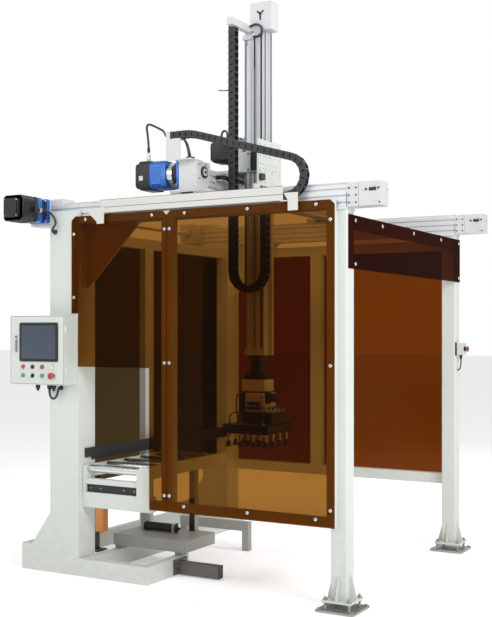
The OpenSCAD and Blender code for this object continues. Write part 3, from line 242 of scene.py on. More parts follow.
PAINT = surface("powder_coat", (0.62, 0.66, 0.62), 0.42, mottle=0.035, grain=420, depth=0.00025,
                worn=(0.80, 0.82, 0.80), wear=0.7, grime=0.35)
# Painted shadow: a darker copy of the frame's grey paint, standing in for the shade that the conveyor stand
# lies in
PAINTED_SHADOW_GREY = surface("grey_enamel_with_painted_shadow", (0.33, 0.34, 0.32), 0.45, mottle=0.07, worn=(0.5, 0.5, 0.48), grime=0.5)
DARK = surface("dark_grey_enamel", (0.075, 0.075, 0.068), 0.42, mottle=0.15, patch=8,
               worn=(0.25, 0.25, 0.24), wear=0.7, grime=0.3)
CREAM = surface("cream_sheet", (0.62, 0.615, 0.585), 0.45, mottle=0.04, worn=(0.78, 0.77, 0.74))
ORANGE = surface("orange_enamel", (0.82, 0.30, 0.05), 0.4, mottle=0.08, worn=(0.9, 0.6, 0.4), grime=0.4)
ZINC = surface("zinc_plate", (0.42, 0.42, 0.41), 0.45, metallic=0.85, mottle=0.22, patch=30,
               worn=(0.7, 0.7, 0.7), grime=0.5)
BRIGHT = surface("bright_steel", (0.66, 0.66, 0.66), 0.26, metallic=1.0, patch=40, edge=0.0006)
ALONG_X = anodised("anodised_along_x", (0.64, 0.66, 0.68), 0.35, (0.01, 1, 1))
ALONG_Y = anodised("anodised_along_y", (0.66, 0.68, 0.70), 0.35, (1, 0.01, 1))
ALONG_Z = anodised("anodised_along_z", (0.60, 0.62, 0.64), 0.4, (1, 1, 0.01))
CAST = surface("cast_aluminium", (0.61, 0.62, 0.63), 0.48, metallic=0.15, mottle=0.05, grain=260,
               depth=0.0004, worn=(0.88, 0.88, 0.88), wear=0.7)
GREY = surface("grey_profile", (0.20, 0.21, 0.22), 0.4, metallic=0.4, mottle=0.06, grain=800,
               stretch=(1, 1, 0.01), depth=0.00006, edge=0.0005)
BLACK = surface("black_anodised", (0.016, 0.018, 0.021), 0.38, metallic=0.2, mottle=0.25, patch=14,
                grain=900, depth=0.0001, worn=(0.09, 0.09, 0.10))
BLUE = surface("blue_anodised", (0.016, 0.135, 0.50), 0.30, metallic=0.35, mottle=0.12, patch=12, grain=700,
               depth=0.00008, worn=(0.30, 0.45, 0.75), wear=0.7, coat=0.3)
LINKS = surface("chain_plastic", (0.020, 0.021, 0.023), 0.48, mottle=0.3, patch=12, grain=700, depth=0.00012,
                edge=0.0005, worn=(0.07, 0.07, 0.075))
RUBBER = surface("rubber", (0.022, 0.022, 0.024), 0.62, mottle=0.25, grain=900, depth=0.0001, edge=0)
LEAD = surface("cable_jacket", (0.024, 0.025, 0.027), 0.45, mottle=0.3, patch=30, grain=1200,
               depth=0.00008, edge=0)
SILICONE = surface("dark_silicone", (0.05, 0.035, 0.030), 0.55, mottle=0.2, patch=20, grain=900, edge=0)
GLASS = surface("screen_glass", (0.040, 0.060, 0.085), 0.12, mottle=0.12, patch=9, grain=60,
                depth=0.00002, edge=0, coat=0.6)
RED = moulded("red_plastic", (0.62, 0.022, 0.018), 0.3, coat=0.4)
PANEL_RED = moulded("panel_red_plastic", (0.42, 0.045, 0.045), 0.4)
OLD_RED = moulded("faded_red_plastic", (0.23, 0.055, 0.030), 0.4, mottle=0.12)
GREEN = moulded("green_plastic", (0.03, 0.36, 0.09), 0.3, coat=0.4)
PALE = moulded("pale_yellow_lens", (0.80, 0.70, 0.38), 0.25, mottle=0.06, coat=0.4)
# Partly painted shade: the amber hue is the sheet's own, but this copy is darker than the front sheet's,
# standing in for a dark room seen through it
AMBER_WITH_PAINTED_SHADE = tinted_sheet("amber_sheet_painted_dark", (0.39, 0.18, 0.055))
AMBER_FRONT = tinted_sheet("amber_sheet_front", (0.57, 0.375, 0.155))
AMBER_SIDE = tinted_sheet("bronze_sheet_side", (0.25, 0.20, 0.125))

KEPT_NODES = {
    PAINT: ["base_frame", "front_left_column", "rear_left_column", "column_braces", "front_right_post",
            "rear_right_post", "side_rails", "front_panel_frame", "rear_panel_frame", "hmi_box",
            "conveyor_frame", "z_carriage", "estop_box"],
    # painted shadow: the conveyor stand takes the darker copy of the grey paint
    PAINTED_SHADOW_GREY: ["conveyor_stand"],
    DARK: ["pallet_stop"],
    AMBER_FRONT: ["front_left_panel", "front_right_panel"],
    AMBER_SIDE: ["left_panels"],
    # painted shade: the right and rear panels take the darker copy of the amber tint
    AMBER_WITH_PAINTED_SHADE: ["right_panel", "rear_panel"],
    ALONG_X: ["front_x_beam", "rear_x_beam"],
    ALONG_Y: ["bridge_beam", "connecting_shaft"],
    ALONG_Z: ["mast"],
    CAST: ["x_axis_boxes", "bridge_boxes", "bridge_saddles", "mast_head"],
    CREAM: ["cable_tray"],
    RUBBER: ["guide_rail"],
}
for finish, nodes in KEPT_NODES.items():
    for node in nodes:
        slots = frame["nodes"][node].data.materials
        slots.clear()
        slots.append(finish)


# Forms

FRONT, RIGHT, LEFT, UP, DOWN = (0, -1, 0), (1, 0, 0), (-1, 0, 0), (0, 0, 1), (0, 0, -1)


def frame_at(p, axis):
    """Stands a form's own +Z along axis at p, with its +Y as near to up as it can be."""
    z = Vector(axis).normalized()
    y = Vector(UP) - z * z.dot(Vector(UP))
    y = y.normalized() if y.length > 1e-6 else z.orthogonal().normalized()
    return Matrix.Translation(p) @ Matrix((y.cross(z), y, z)).transposed().to_4x4()


def four(x, y=None):
    """The four places that lie x and y either way from a middle."""
    return [(sx * x, sy * (x if y is None else y)) for sx in (-1, 1) for sy in (-1, 1)]


def around(r, count, first=0.0):
    """Places on a circle, the first one at an angle in degrees."""
    angles = [math.radians(first + 360 * k / count) for k in range(count)]
    return [(r * math.cos(a), r * math.sin(a)) for a in angles]


def rounded(w, d, r, steps=3):
    """Outline of a rectangle with rounded corners, centred."""
    r = min(r, w / 2 - 0.01, d / 2 - 0.01)
    outline = []
    for i, (sx, sy) in enumerate([(1, 1), (-1, 1), (-1, -1), (1, -1)]):
        for k in range(steps + 1):
            a = (i + k / steps) * math.pi / 2
            outline.append((sx * (w / 2 - r) + r * math.cos(a), sy * (d / 2 - r) + r * math.sin(a)))
    return outline


def inset(outline, by):
    """The outline drawn in by a distance, corner by corner."""
    made = []
    for i, p in enumerate(outline):
        before, here, after = Vector(outline[i - 1]), Vector(p), Vector(outline[(i + 1) % len(outline)])
        a, b = here - before, after - here
        if a.length < 1e-6 or b.length < 1e-6:
            made.append(tuple(here))
            continue
        n = Vector((-a.y, a.x)).normalized() + Vector((-b.y, b.x)).normalized()
        made.append(tuple(here + n / max(n.length_squared / 2, 0.2) * by))
    return made


class Shape:
    """Gathers forms in one mesh. Points are millimetres in the shape's current frame."""

    def __init__(self):
        self.frame = Matrix()
        self.points, self.faces, self.paints, self.materials = [], [], [], []

    @contextmanager
    def placed(self, place):
        """Sets what is drawn in the block down at a point, or in a frame of its own."""
        saved = self.frame
        self.frame = saved @ (place if isinstance(place, Matrix) else Matrix.Translation(place))
        yield
        self.frame = saved

    def add(self, points, faces, material):
        if material not in self.materials:
            self.materials.append(material)
        first, paint = len(self.points), self.materials.index(material)
        self.points += [self.frame @ Vector(p) for p in points]
        self.faces += [[first + i for i in f] for f in faces]
        self.paints += [paint] * len(faces)

    def stamp(self, other, frame):
        """Another shape, set down in this one."""
        for paint, material in enumerate(other.materials):
            faces = [f for f, q in zip(other.faces, other.paints) if q == paint]
            used = sorted({i for f in faces for i in f})
            place = {i: n for n, i in enumerate(used)}
            points = [frame @ other.points[i] for i in used]
            self.add(points, [[place[i] for i in f] for f in faces], material)

    def loft(self, rings, material):
        """Rings of points, joined by walls and closed at both ends."""
        n, last = len(rings[0]), len(rings) - 1
        walls = [[k * n + i, k * n + (i + 1) % n, (k + 1) * n + (i + 1) % n, (k + 1) * n + i]
                 for k in range(last) for i in range(n)]
        ends = [list(range(n))[::-1], [last * n + i for i in range(n)]]
        self.add([p for r in rings for p in r], walls + ends, material)

    def prism(self, outline, z0, z1, material, edge=1.0):
        """An outline raised from z0 to z1, with chamfered rims."""
        edge = min(edge, abs(z1 - z0) * 0.45)
        rings = [(outline, z0), (outline, z1)]
        if edge:
            rim = inset(outline, edge)
            rings = [(rim, z0), (outline, z0 + edge), (outline, z1 - edge), (rim, z1)]
        self.loft([[(x, y, z) for x, y in line] for line, z in rings], material)

    def box(self, low, high, material, edge=1.5):
        low, high = Vector(low), Vector(high)
        size, centre = high - low, (low + high) / 2
        edge = min(edge, min(size) * 0.3)
        outline = [(x + centre.x, y + centre.y) for x, y in rounded(size.x, size.y, edge, 1)]
        self.prism(outline, low.z, high.z, material, edge)

    def lathe(self, profile, material, sides=28):
        """A turned form: pairs of radius and height."""
        self.loft([[(x, y, z) for x, y in around(max(r, 0.05), sides)] for r, z in profile], material)

    def rod(self, a, b, d, material, sides=20, edge=0.0):
        a, b = Vector(a), Vector(b)
        with self.placed(frame_at(a, b - a)):
            self.prism(around(d / 2, sides), 0, (b - a).length, material, edge)

    def tube(self, line, d, material, sides=10):
        line = [Vector(p) for p in line]
        side = (line[1] - line[0]).orthogonal().normalized()
        rings = []
        for i, p in enumerate(line):
            along = (line[min(i + 1, len(line) - 1)] - line[max(i - 1, 0)]).normalized()
            side = (side - along * side.dot(along)).normalized()
            other = along.cross(side)
            rings.append([p + (side * x + other * y) for x, y in around(d / 2, sides)])
        self.loft(rings, material)

    def piece(self, name):
        """The scene object of all that was drawn."""
        mesh = bpy.data.meshes.new(name)
        mesh.from_pydata([at(p) for p in self.points], [], self.faces)
        for m in self.materials:
            mesh.materials.append(m)
        mesh.polygons.foreach_set("material_index", self.paints)
        mesh.update()
        mesh.shade_smooth()
        mesh.set_sharp_from_angle(angle=math.radians(34))
        made = bpy.data.objects.new(name, mesh)
        show(made)
        return made

    def done(self, name, body, slot, *replaced):
        made = self.piece(name)
        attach(made, body)
        if replaced:
            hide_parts(*replaced)


def smooth_line(points, steps=6):
    """Catmull-Rom line through the points."""
    p = [Vector(q) for q in points]
    p = [2 * p[0] - p[1], *p, 2 * p[-1] - p[-2]]
    line = []
    for a, b, c, d in zip(p, p[1:], p[2:], p[3:]):
        for k in range(steps):
            t = k / steps
            line.append(0.5 * (2 * b + (c - a) * t + (2 * a - 5 * b + 4 * c - d) * t * t
                               + (3 * b - a - 3 * c + d) * t * t * t))
    return line + [p[-2]]


def loose_parts(node):
    """The box of each separate solid in a CAD node, in millimetres."""
    bm = bmesh.new()
    bm.from_mesh(frame["nodes"][node].data)
    bmesh.ops.remove_doubles(bm, verts=bm.verts, dist=1e-5)
    left, boxes = set(bm.verts), []
    while left:
        todo, part = [left.pop()], []
        while todo:
            v = todo.pop()
            part.append((v.co - drawing_point) / MM)
            near = {e.other_vert(v) for e in v.link_edges} & left
            left -= near
            todo += near
        boxes.append((Vector(map(min, *part)), Vector(map(max, *part))))
    bm.free()
    return sorted(boxes, key=lambda b: (round(b[0].z), round(b[0].x), round(b[0].y)))


# Cords

LEAD_D = 14
LEADS = {
    "x_motor_cable": ("frame", "loose", [
        (-2029, -120, 2324), (-2029, -112, 2324), (-2024, -104, 2321), (-2013, -101, 2314),
        (-1998, -100, 2303), (-1982, -101, 2287), (-1970, -103, 2267), (-1962, -105, 2244),
        (-1961, -113, 2230), (-1965, -121, 2217), (-1971, -124, 2204), (-1976, -120, 2194),
        (-1979, -111, 2189), (-1979, -103, 2189), (-1979, -95, 2189)]),
    "hmi_cable": ("frame", "hanging", [
        (-1974, -150, 1186), (-1974, -150, 1172), (-1973, -149, 1154), (-1969, -146, 1136),
        (-1961, -140, 1124), (-1952, -133, 1122), (-1944, -126, 1130), (-1935, -125, 1143),
        (-1932, -119, 1165), (-1931, -115, 1179), (-1930, -110, 1187), (-1930, -103, 1189),
        (-1930, -95, 1189)]),
    "y_motor_cable": ("bridge", "loose", [
        (-1337, 40, 2624), (-1337, 40, 2646), (-1338, 40, 2684), (-1341, 39, 2734), (-1345, 36, 2784),
        (-1347, 32, 2814), (-1341, 28, 2832), (-1325, 22, 2836), (-1301, 12, 2830), (-1271, -2, 2818),
        (-1199, -29.5, 2784.5), (-1169, -51.5, 2770.5), (-1147, -68.5, 2753.5), (-1132, -79.5, 2736.5),
        (-1121, -83.5, 2726.5), (-1109, -83.5, 2726.5)]),
    "z_motor_cable": ("carriage", "loose", [
        (-1128, 572, 2817), (-1128, 572, 2829), (-1127, 572, 2843), (-1122, 572, 2857),
        (-1113, 572, 2866), (-1105, 572, 2868), (-1097, 572, 2866), (-1088, 572, 2857),
        (-1083, 572, 2843), (-1082, 572, 2829), (-1082, 572, 2817)]),
    "mast_hose": ("lift_mast", "loose", [
        (-825, 412, 3473), (-818, 412, 3473), (-805, 412, 3478), (-787, 412, 3481), (-769, 412, 3478),
        (-753, 412, 3469), (-741, 412, 3455), (-737, 412, 3438), (-739, 412, 3423), (-750, 412, 3412),
        (-762, 412, 3405), (-774, 412, 3403), (-788, 412, 3404), (-800, 412, 3404)]),
}


def lead_ends(node):
    """The first and the last point of a cord."""
    points = LEADS[node][2]
    return Vector(points[0]), Vector(points[-1])


for node, (body, lay, points) in LEADS.items():
    line = smooth_line(points)
    curve = bpy.data.curves.new(node + "_lead", "CURVE")
    curve.dimensions = "3D"
    curve.bevel_depth = LEAD_D / 2 * MM
    curve.bevel_resolution = 4
    curve.use_fill_caps = True
    spline = curve.splines.new("POLY")
    spline.points.add(len(line) - 1)
    for knot, p in zip(spline.points, line):
        knot.co = (*at(p), 1)
    curve.materials.append(LEAD)
    lead = bpy.data.objects.new(node + "_lead", curve)
    show(lead)
    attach(lead, body)
    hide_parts(node)


# Small fasteners, drawn once with a head of 10 mm and stamped where they are needed

def button_bolt(material):
    s = Shape()
    s.lathe([(5, 0), (5, 0.6), (4.6, 1.6), (3.7, 2.3), (2.6, 2.6), (1.9, 2.6)], material, 20)
    s.prism(around(1.9, 6, 30), 1.4, 2.62, BLACK, 0)
    return s


def cap_bolt(material):
    s = Shape()
    s.lathe([(5, 0), (5, 4.4), (4.5, 5), (2.8, 5)], material, 20)
    s.prism(around(2.8, 6, 30), 3.0, 5.02, BLACK, 0)
    return s


def hex_bolt(material):
    s = Shape()
    s.prism(around(6.4, 20), 0, 0.8, material, 0.2)
    s.prism(around(5, 6), 0.8, 4.2, material, 0.5)
    return s


BUTTON, CAP, HEX = button_bolt(ZINC), cap_bolt(BLACK), hex_bolt(ZINC)
BRIGHT_BUTTON, BRIGHT_CAP = button_bolt(BRIGHT), cap_bolt(BRIGHT)


def fasten(shape, kind, head, places, axis=None):
    """Fasteners with a head of a size, standing along an axis or on the current frame's own +Z."""
    for p in places:
        place = frame_at(p, axis) if axis else Matrix.Translation(p)
        shape.stamp(kind, place @ Matrix.Scale(head / 10, 4))


def gland(shape, p, axis, d, h):
    """Cable gland over the source's plain one: hex base, dome nut and a short tapered sleeve."""
    with shape.placed(frame_at(p, axis)):
        shape.prism(around(d * 0.62, 6), 0, h * 0.45, BLACK, 1)
        shape.lathe([(d * 0.52, h * 0.4), (d * 0.52, h * 0.9), (d * 0.51, h + 0.6), (LEAD_D * 0.62, h + 5),
                     (LEAD_D * 0.53, h + 16)], RUBBER, 20)


# Panel bolts, where the source has them

bolts = Shape()
for low, high in loose_parts("panel_bolts"):
    size, centre = high - low, (low + high) / 2
    if size.x < size.y:
        fasten(bolts, BRIGHT_BUTTON, size.z, [(low.x, centre.y, centre.z)], RIGHT)
    else:
        fasten(bolts, BRIGHT_BUTTON, size.z, [(centre.x, high.y, centre.z)], FRONT)
bolts.done("panel_fasteners", "frame", "bolt", "panel_bolts")


# Levelling feet: floor plates with anchors, threaded studs and nuts

plate_w, plate_t, stud_d, thread_step = 235, 12, 16, 2.5
stud_reach, anchor_reach = 72, 100
lower_nut, upper_nut, washer_t, nut_h = 39, 62, 2.5, 11
turns = int((upper_nut + 22 - plate_t) / thread_step)
thread = [(stud_d / 2 - (0.9 if k % 2 else 0), plate_t + k * thread_step) for k in range(turns)]
thread.append((stud_d / 2 - 2, plate_t + turns * thread_step))

feet = Shape()
for post in ("front_right_post", "rear_right_post"):
    with feet.placed((0, middle(post).y, 0)):
        feet.prism(rounded(plate_w, plate_w, 8), 0, plate_t, ZINC, 1.5)
        for x, y in four(stud_reach):
            with feet.placed((x, y, 0)):
                feet.lathe(thread, ZINC, 16)
                feet.prism(around(15.5, 20), upper_nut, upper_nut + washer_t, ZINC, 0.5)
                for low, high in ((lower_nut, lower_nut + nut_h), (upper_nut + washer_t, upper_nut + nut_h)):
                    feet.prism(around(stud_d * 0.8, 6), low, high, ZINC, 1)
        for x, y in four(anchor_reach):
            with feet.placed((x, y, plate_t)):
                feet.prism(around(13, 20), 0, 2, ZINC, 0.5)
                feet.prism(around(9.5, 6), 2, 9, ZINC, 1)
feet.done("foot_hardware", "frame", "galvanised", "levelling_feet")


# Servo drives

def servo(shape, p, axis, stages, finish):
    """A drive from its mounting face outwards, in stages of a width and a length: flange, gearbox, adaptor,
    finned motor and rear cap."""
    (flange, flange_l), (gear, gear_l), (ring, ring_l), (body, body_l), (cap, cap_l) = stages
    with shape.placed(frame_at(p, axis)):
        shape.prism(rounded(flange, flange, flange * 0.08), 0, flange_l, BLUE, 2)
        z = flange_l
        fasten(shape, BRIGHT_CAP, 17, [(x, y, z) for x, y in four(flange * 0.41)])
        waist = [(0.47, 0), (0.5, 3), (0.5, gear_l * 0.36), (0.485, gear_l * 0.4), (0.485, gear_l * 0.6),
                 (0.5, gear_l * 0.64), (0.5, gear_l - 3), (0.47, gear_l)]
        shape.lathe([(gear * r, z + out) for r, out in waist], BLACK, 48)
        for x, y in around(gear * 0.485, 8, 22.5):
            shape.rod((x, y, z + 2), (x, y, z + gear_l * 0.34), 11, BLACK, 12, 1)
        z += gear_l
        shape.prism(rounded(ring, ring, ring * 0.10), z, z + ring_l, BLUE, 2)
        z += ring_l
        fasten(shape, BRIGHT_CAP, 14, [(x, y, z) for x, y in four(ring * 0.41)])
        far, near = body / 2 - 4, body * 0.34
        outline = [(near, far), (-near, far), (-far, near), (-far, -near), (-near, -far), (near, -far),
                   (far, -near), (far, near)]
        shape.prism(outline, z, z + body_l, finish, 3)
        for side in range(4):
            with shape.placed(Matrix.Rotation(math.radians(90 * side), 4, "Z")):
                for x in [k * body * 0.082 for k in range(-3, 4)]:
                    shape.box((x - 3, body / 2 - 5, z + 14), (x + 3, body / 2, z + body_l - 14), finish, 1)
        shield = rounded(body * 0.97, body * 0.97, body * 0.14)
        shape.prism(shield, z - 1, z + 12, finish, 2)
        shape.prism(shield, z + body_l - 12, z + body_l, finish, 2)
        z += body_l
        step = z + cap_l * 0.7
        shape.prism(rounded(cap, cap, cap * 0.14), z, step, BLACK, 3)
        shape.prism(rounded(cap * 0.86, cap * 0.86, cap * 0.14), step, z + cap_l, BLACK, 4)
        fasten(shape, BRIGHT_CAP, 11, [(x, y, step) for x, y in four(cap * 0.40)])


def connector(shape, top, base_z):
    """Round plug that stands on a drive, from base_z up to the cord's end."""
    h = top.z - base_z
    with shape.placed((top.x, top.y, base_z)):
        shape.lathe([(15, 0), (15, h * 0.15), (12.5, h * 0.2), (12.5, h * 0.42)], BLACK, 20)
        shape.lathe([(13.6, h * 0.42), (14.2, h * 0.46), (14.2, h * 0.72), (13.6, h * 0.76)], BRIGHT, 20)
        shape.lathe([(11, h * 0.76), (9.6, h * 0.9), (7.8, h), (7.4, h + 22)], RUBBER, 16)


x_low, x_high = corners("x_motor")
x_axis = (x_low.x + 84, (x_low.z + x_high.z) / 2)
x_drive = Shape()
servo(x_drive, (x_axis[0], x_high.y, x_axis[1]), FRONT,
      [(155, 25), (148, 50), (158, 42), (168, 143), (120, 35)], BLACK)
with x_drive.placed(lead_ends("x_motor_cable")[0]):
    x_drive.box((-19, -112, -20), (12, -80, 20), BLACK, 4)
    x_drive.rod((0, -90, 0), (0, -30, 0), 25, BLACK, 20, 2)
    x_drive.rod((0, -66, 0), (0, -48, 0), 28, BRIGHT, 24, 2)
    x_drive.rod((0, -30, 0), (0, 1, 0), 20, RUBBER, 20, 4)
x_drive.done("x_servo", "frame", "black_metal", "x_motor")

y_low, y_high = corners("y_motor")
y_axis = ((y_low.y + y_high.y) / 2, y_low.z + 90)
y_drive = Shape()
servo(y_drive, (y_high.x, *y_axis), LEFT, [(171, 24), (148, 84), (160, 20), (172, 94), (180, 110)], BLUE)
y_plug = lead_ends("y_motor_cable")[0]
connector(y_drive, y_plug, y_axis[1] + 80)
with y_drive.placed(y_plug):
    y_drive.rod((0, 0, -6), (-1, 0, 40), 24, BRIGHT, 20, 3)
    y_drive.rod((-1, 0, 40), (-2, 0, 72), 19, RUBBER, 20, 4)
# Painted highlight: a bright steel band on the gearbox's outer part, standing in for the light its glossy
# black surface reflects
y_drive.rod((y_high.x - 103, *y_axis), (y_high.x - 67, *y_axis), 149.5, BRIGHT, 56, 2)
y_drive.box((y_low.x + 38, y_low.y - 1.2, y_axis[1] - 32), (y_low.x + 66, y_low.y + 0.4, y_axis[1] - 4),
            CREAM, 0.4)
y_drive.done("y_servo", "bridge", "blue", "y_motor")

z_low, z_high = corners("z_motor")
z_axis = ((z_low.y + z_high.y) / 2, z_low.z + 82)
z_drive = Shape()
servo(z_drive, (z_high.x, *z_axis), LEFT, [(150, 26), (164, 28), (150, 24), (164, 130), (144, 76)], BLACK)
for plug in lead_ends("z_motor_cable"):
    connector(z_drive, plug, z_axis[1] + 66)
z_drive.done("z_servo", "carriage", "black_metal", "z_motor")


# Cable chains. Each chain is a fixed run, a bend and a moving run.

KNEE = 300      # a climbing chain levels out at this radius
FAR = 100000    # a blend this wide is halfway everywhere along a chain


def chain_point(s, bed, r, slope, climb):
    """A point of the pivot line: a straight bed, a bend, a climb and a level end."""
    lean = math.radians(slope)
    risen = s - bed - r * (math.pi - lean)
    if s < bed:
        return Vector((s, 0, 0))
    if risen < 0:
        a = (s - bed) / r
        return Vector((bed + r * math.sin(a), 0, r - r * math.cos(a)))
    up, beyond = min(risen, climb), max(risen - climb, 0)
    a = max(lean - beyond / KNEE, 0)
    level = max(beyond - KNEE * lean, 0)
    back = up * math.cos(lean) - KNEE * (math.sin(a) - math.sin(lean)) + level
    return Vector((bed + r * math.sin(lean) - back, 0,
                   r + r * math.cos(lean) + up * math.sin(lean) + KNEE * (math.cos(a) - math.cos(lean))))


def link(length, h, w):
    """One link: an inner and an outer side plate on each side, crossbars and pivot heads."""
    s = Shape()
    r = h / 2 - 0.5
    lobe = [(r * math.cos(a), r * math.sin(a)) for a in [math.radians(90 + 22.5 * k) for k in range(9)]]
    inner = lobe + [(length * x, r * y) for x, y in ((0.62, -1), (0.68, -0.6), (0.68, 0.6), (0.62, 1))]
    outer = [(length - x, -y) for x, y in inner]
    boss = [(h * q, z) for q, z in ((0.21, -0.5), (0.21, 0.8), (0.17, 1.3), (0.12, 1.3), (0.10, 0.4))]
    for side in (-1, 1):
        with s.placed(Matrix.Rotation(math.radians(90), 4, "X")):
            s.prism(inner, *sorted((side * (w / 2 - 7), side * (w / 2 - 3.6))), LINKS, 0.5)
            s.prism(outer, *sorted((side * (w / 2 - 3.4), side * w / 2)), LINKS, 0.7)
        turn = Matrix.Rotation(math.radians(-90 * side), 4, "X")
        with s.placed(Matrix.Translation((length, side * w / 2, 0)) @ turn):
            s.lathe(boss, LINKS, 14)
        low, high = sorted((side * (h / 2 - 4), side * (h / 2 - 0.2)))
        s.box((length * 0.34, -w / 2 + 3, low), (length * 0.66, w / 2 - 3, high), LINKS, 0.8)
    return s


def chain(name, place, path, level, count, h, w, spans):
    """Draws a chain in the frame place: +X along its bed, +Y across, +Z up."""
    bed, r, slope, climb = path
    lean = math.radians(slope)
    bent = bed + r * (math.pi - lean)
    total = bent + climb + KNEE * lean + level
    runs = [Shape(), Shape(), Shape()]
    across = Vector((0, 1, 0))
    for i in range(count):
        a, b = [chain_point(k * total / count, *path) for k in (i, i + 1)]
        centre = (i + 0.5) * total / count
        run = runs[0 if centre < bed else 1 if centre < bent else 2]
        way = (b - a).normalized()
        turn = Matrix((way, across, way.cross(across))).transposed().to_4x4()
        run.stamp(link((b - a).length, h, w), place @ Matrix.Translation(a) @ turn)
    for y, d, finish in ((-w * 0.24, h * 0.32, LEAD), (0, h * 0.38, RUBBER), (w * 0.24, h * 0.26, LEAD)):
        for run, (s0, s1) in zip(runs, [(1, bed), (bed, bent), (bent, total - 1)]):
            n = max(2, int((s1 - s0) / 18))
            line = [chain_point(s0 + (s1 - s0) * j / n, *path) + across * y for j in range(n + 1)]
            run.tube([place @ p for p in line], d, finish, 8)
    for run, part, (a, b, start, end) in zip(runs, ("bed", "bend", "back"), spans):
        piece = run.piece(f"{name}_{part}")
        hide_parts(name)
        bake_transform(piece)


def rolling(a, b, still, bend, moving, axis):
    """The blends of a chain's bed, bend and back. The bend goes half as far as the moving end."""
    def on(value):
        return tuple(value if i == axis else 0 for i in range(3))
    return [(a, b, on(still), on(2 * bend - still)), (a, b, on(bend - FAR), on(bend + FAR)),
            (a, b, on(2 * bend - moving), on(moving))]


# A path is the bed's length, the bend's radius, the climb's slope in degrees and its length.
x_start, x_path = -1101, (796, 112, 16, 651)
y_start, y_path = 190, (679, 60, 0, 369)
z_start, z_path = 3435.7, (1513.7, 112, 0, 479.7)
z_spans = rolling("carriage", "lift_mast", 2402, z_start - z_path[0], 3436, 2)
x_place = Matrix.Translation((x_start, -83.5, 2315.8))
y_place = Matrix.Translation((-916, y_start, 2499.3)) @ Matrix.Rotation(math.radians(90), 4, "Z")
z_place = Matrix(((0, 0, 1, -860.5), (0, 1, 0, 268), (-1, 0, 0, z_start), (0, 0, 0, 1)))
chain("x_chain", x_place, x_path, level=100, count=46, h=45, w=40,
      spans=rolling("frame", "bridge", x_start, x_start + x_path[0], x_start, 0))
chain("y_chain", y_place, y_path, level=0, count=48, h=30, w=38,
      spans=rolling("bridge", "carriage", y_start, y_start + y_path[0], 500, 1))
chain("z_chain", z_place, z_path, level=0, count=54, h=45, w=54, spans=z_spans[::-1])


# Operator panel. The source's box has its glands under it, so its height is named here.

hmi_low, hmi_high = corners("hmi_box")
hmi_w, hmi_h = hmi_high.x - hmi_low.x, 439
hmi_y, hmi_z0 = hmi_low.y, hmi_high.z - hmi_h
button_d = 30
columns = [hmi_low.x + hmi_w / 4 + i * hmi_w / 5.6 for i in range(4)]
rows = [hmi_z0 + hmi_h * 0.2574, hmi_z0 + hmi_h * 0.13]


def on_panel(column, row):
    """The frame of a control on the door, with +Z towards the operator."""
    return frame_at((columns[column], hmi_y, rows[row]), FRONT)


def control_ring(shape, column, row):
    with shape.placed(on_panel(column, row)):
        rim = ((0.56, 0), (0.56, 2.5), (0.5, 4), (0.44, 4), (0.44, 1))
        shape.lathe([(button_d * r, z) for r, z in rim], BRIGHT, 28)


screen_low, screen_high = corners("hmi_screen")
screen_w, screen_h = screen_high.x - screen_low.x, screen_high.z - screen_low.z
screen_middle = middle("hmi_screen")
screen = Shape()
with screen.placed(frame_at((screen_middle.x, hmi_y + 1, screen_middle.z), FRONT)):
    screen.prism(rounded(screen_w, screen_h, 10), 0, 7, BLACK, 1.5)
    screen.prism(rounded(screen_w - 36, screen_h - 34, 3), 5, 7.4, GLASS, 0.4)
screen.done("touch_screen", "frame", "screen", "hmi_screen")

lamps = Shape()
dome = [(button_d * r, z) for r, z in ((0.43, 0), (0.43, 8), (0.38, 11), (0.2, 12.4), (0, 12.6))]
for column, row, finish in ((0, 0, RED), (1, 0, BLACK), (3, 0, PALE), (0, 1, GREEN)):
    control_ring(lamps, column, row)
    with lamps.placed(on_panel(column, row)):
        lamps.lathe(dome, finish, 28)
lamps.done("lamps", "frame", "lamp", "indicator_lamps")

fittings = Shape()
for column, row in ((2, 0), (1, 1), (2, 1), (3, 1)):
    control_ring(fittings, column, row)
with fittings.placed(on_panel(3, 1)):
    fittings.lathe([(27, 0), (27, 1.5), (26, 2), (18, 2)], BRIGHT, 36)
with fittings.placed((hmi_low.x + 55, hmi_y, hmi_z0)):
    fittings.box((-9, -3, 202), (9, 0, 320), CAST, 3)
    fittings.box((-6, -11, 208), (6, -3, 288), GREY, 3)
    fittings.rod((0, -2, 304), (0, -12, 304), 15, GREY, 20, 1.5)
for z in (88, 351):
    with fittings.placed((hmi_high.x + 4, hmi_y + 12, hmi_z0 + z)):
        fittings.rod((0, 0, -22), (0, 0, 22), 14, PAINT, 16, 2)
fittings.done("panel_fittings", "frame", "steel")

door = Shape()
with door.placed(frame_at(((hmi_low.x + hmi_high.x) / 2, hmi_y, hmi_z0 + hmi_h / 2), FRONT)):
    seam, gap = rounded(hmi_w - 8, hmi_h - 8, 10), rounded(hmi_w - 12, hmi_h - 12, 9)
    n = len(seam)
    door.add([(x, y, 0.15) for x, y in seam + gap],
             [[i, (i + 1) % n, n + (i + 1) % n, n + i] for i in range(n)], RUBBER)
door.done("door_seal", "frame", "black_plastic")


def push_button(node, body, row, finish, slot):
    s = Shape()
    r = button_d * 0.43
    with s.placed(on_panel(2, row)):
        s.lathe([(8, -30), (8, 5), (r, 5.5), (r, 11), (r - 1.5, 13.5), (r - 4, 14), (0, 13.4)], finish, 32)
    s.done(body, body, slot, node)


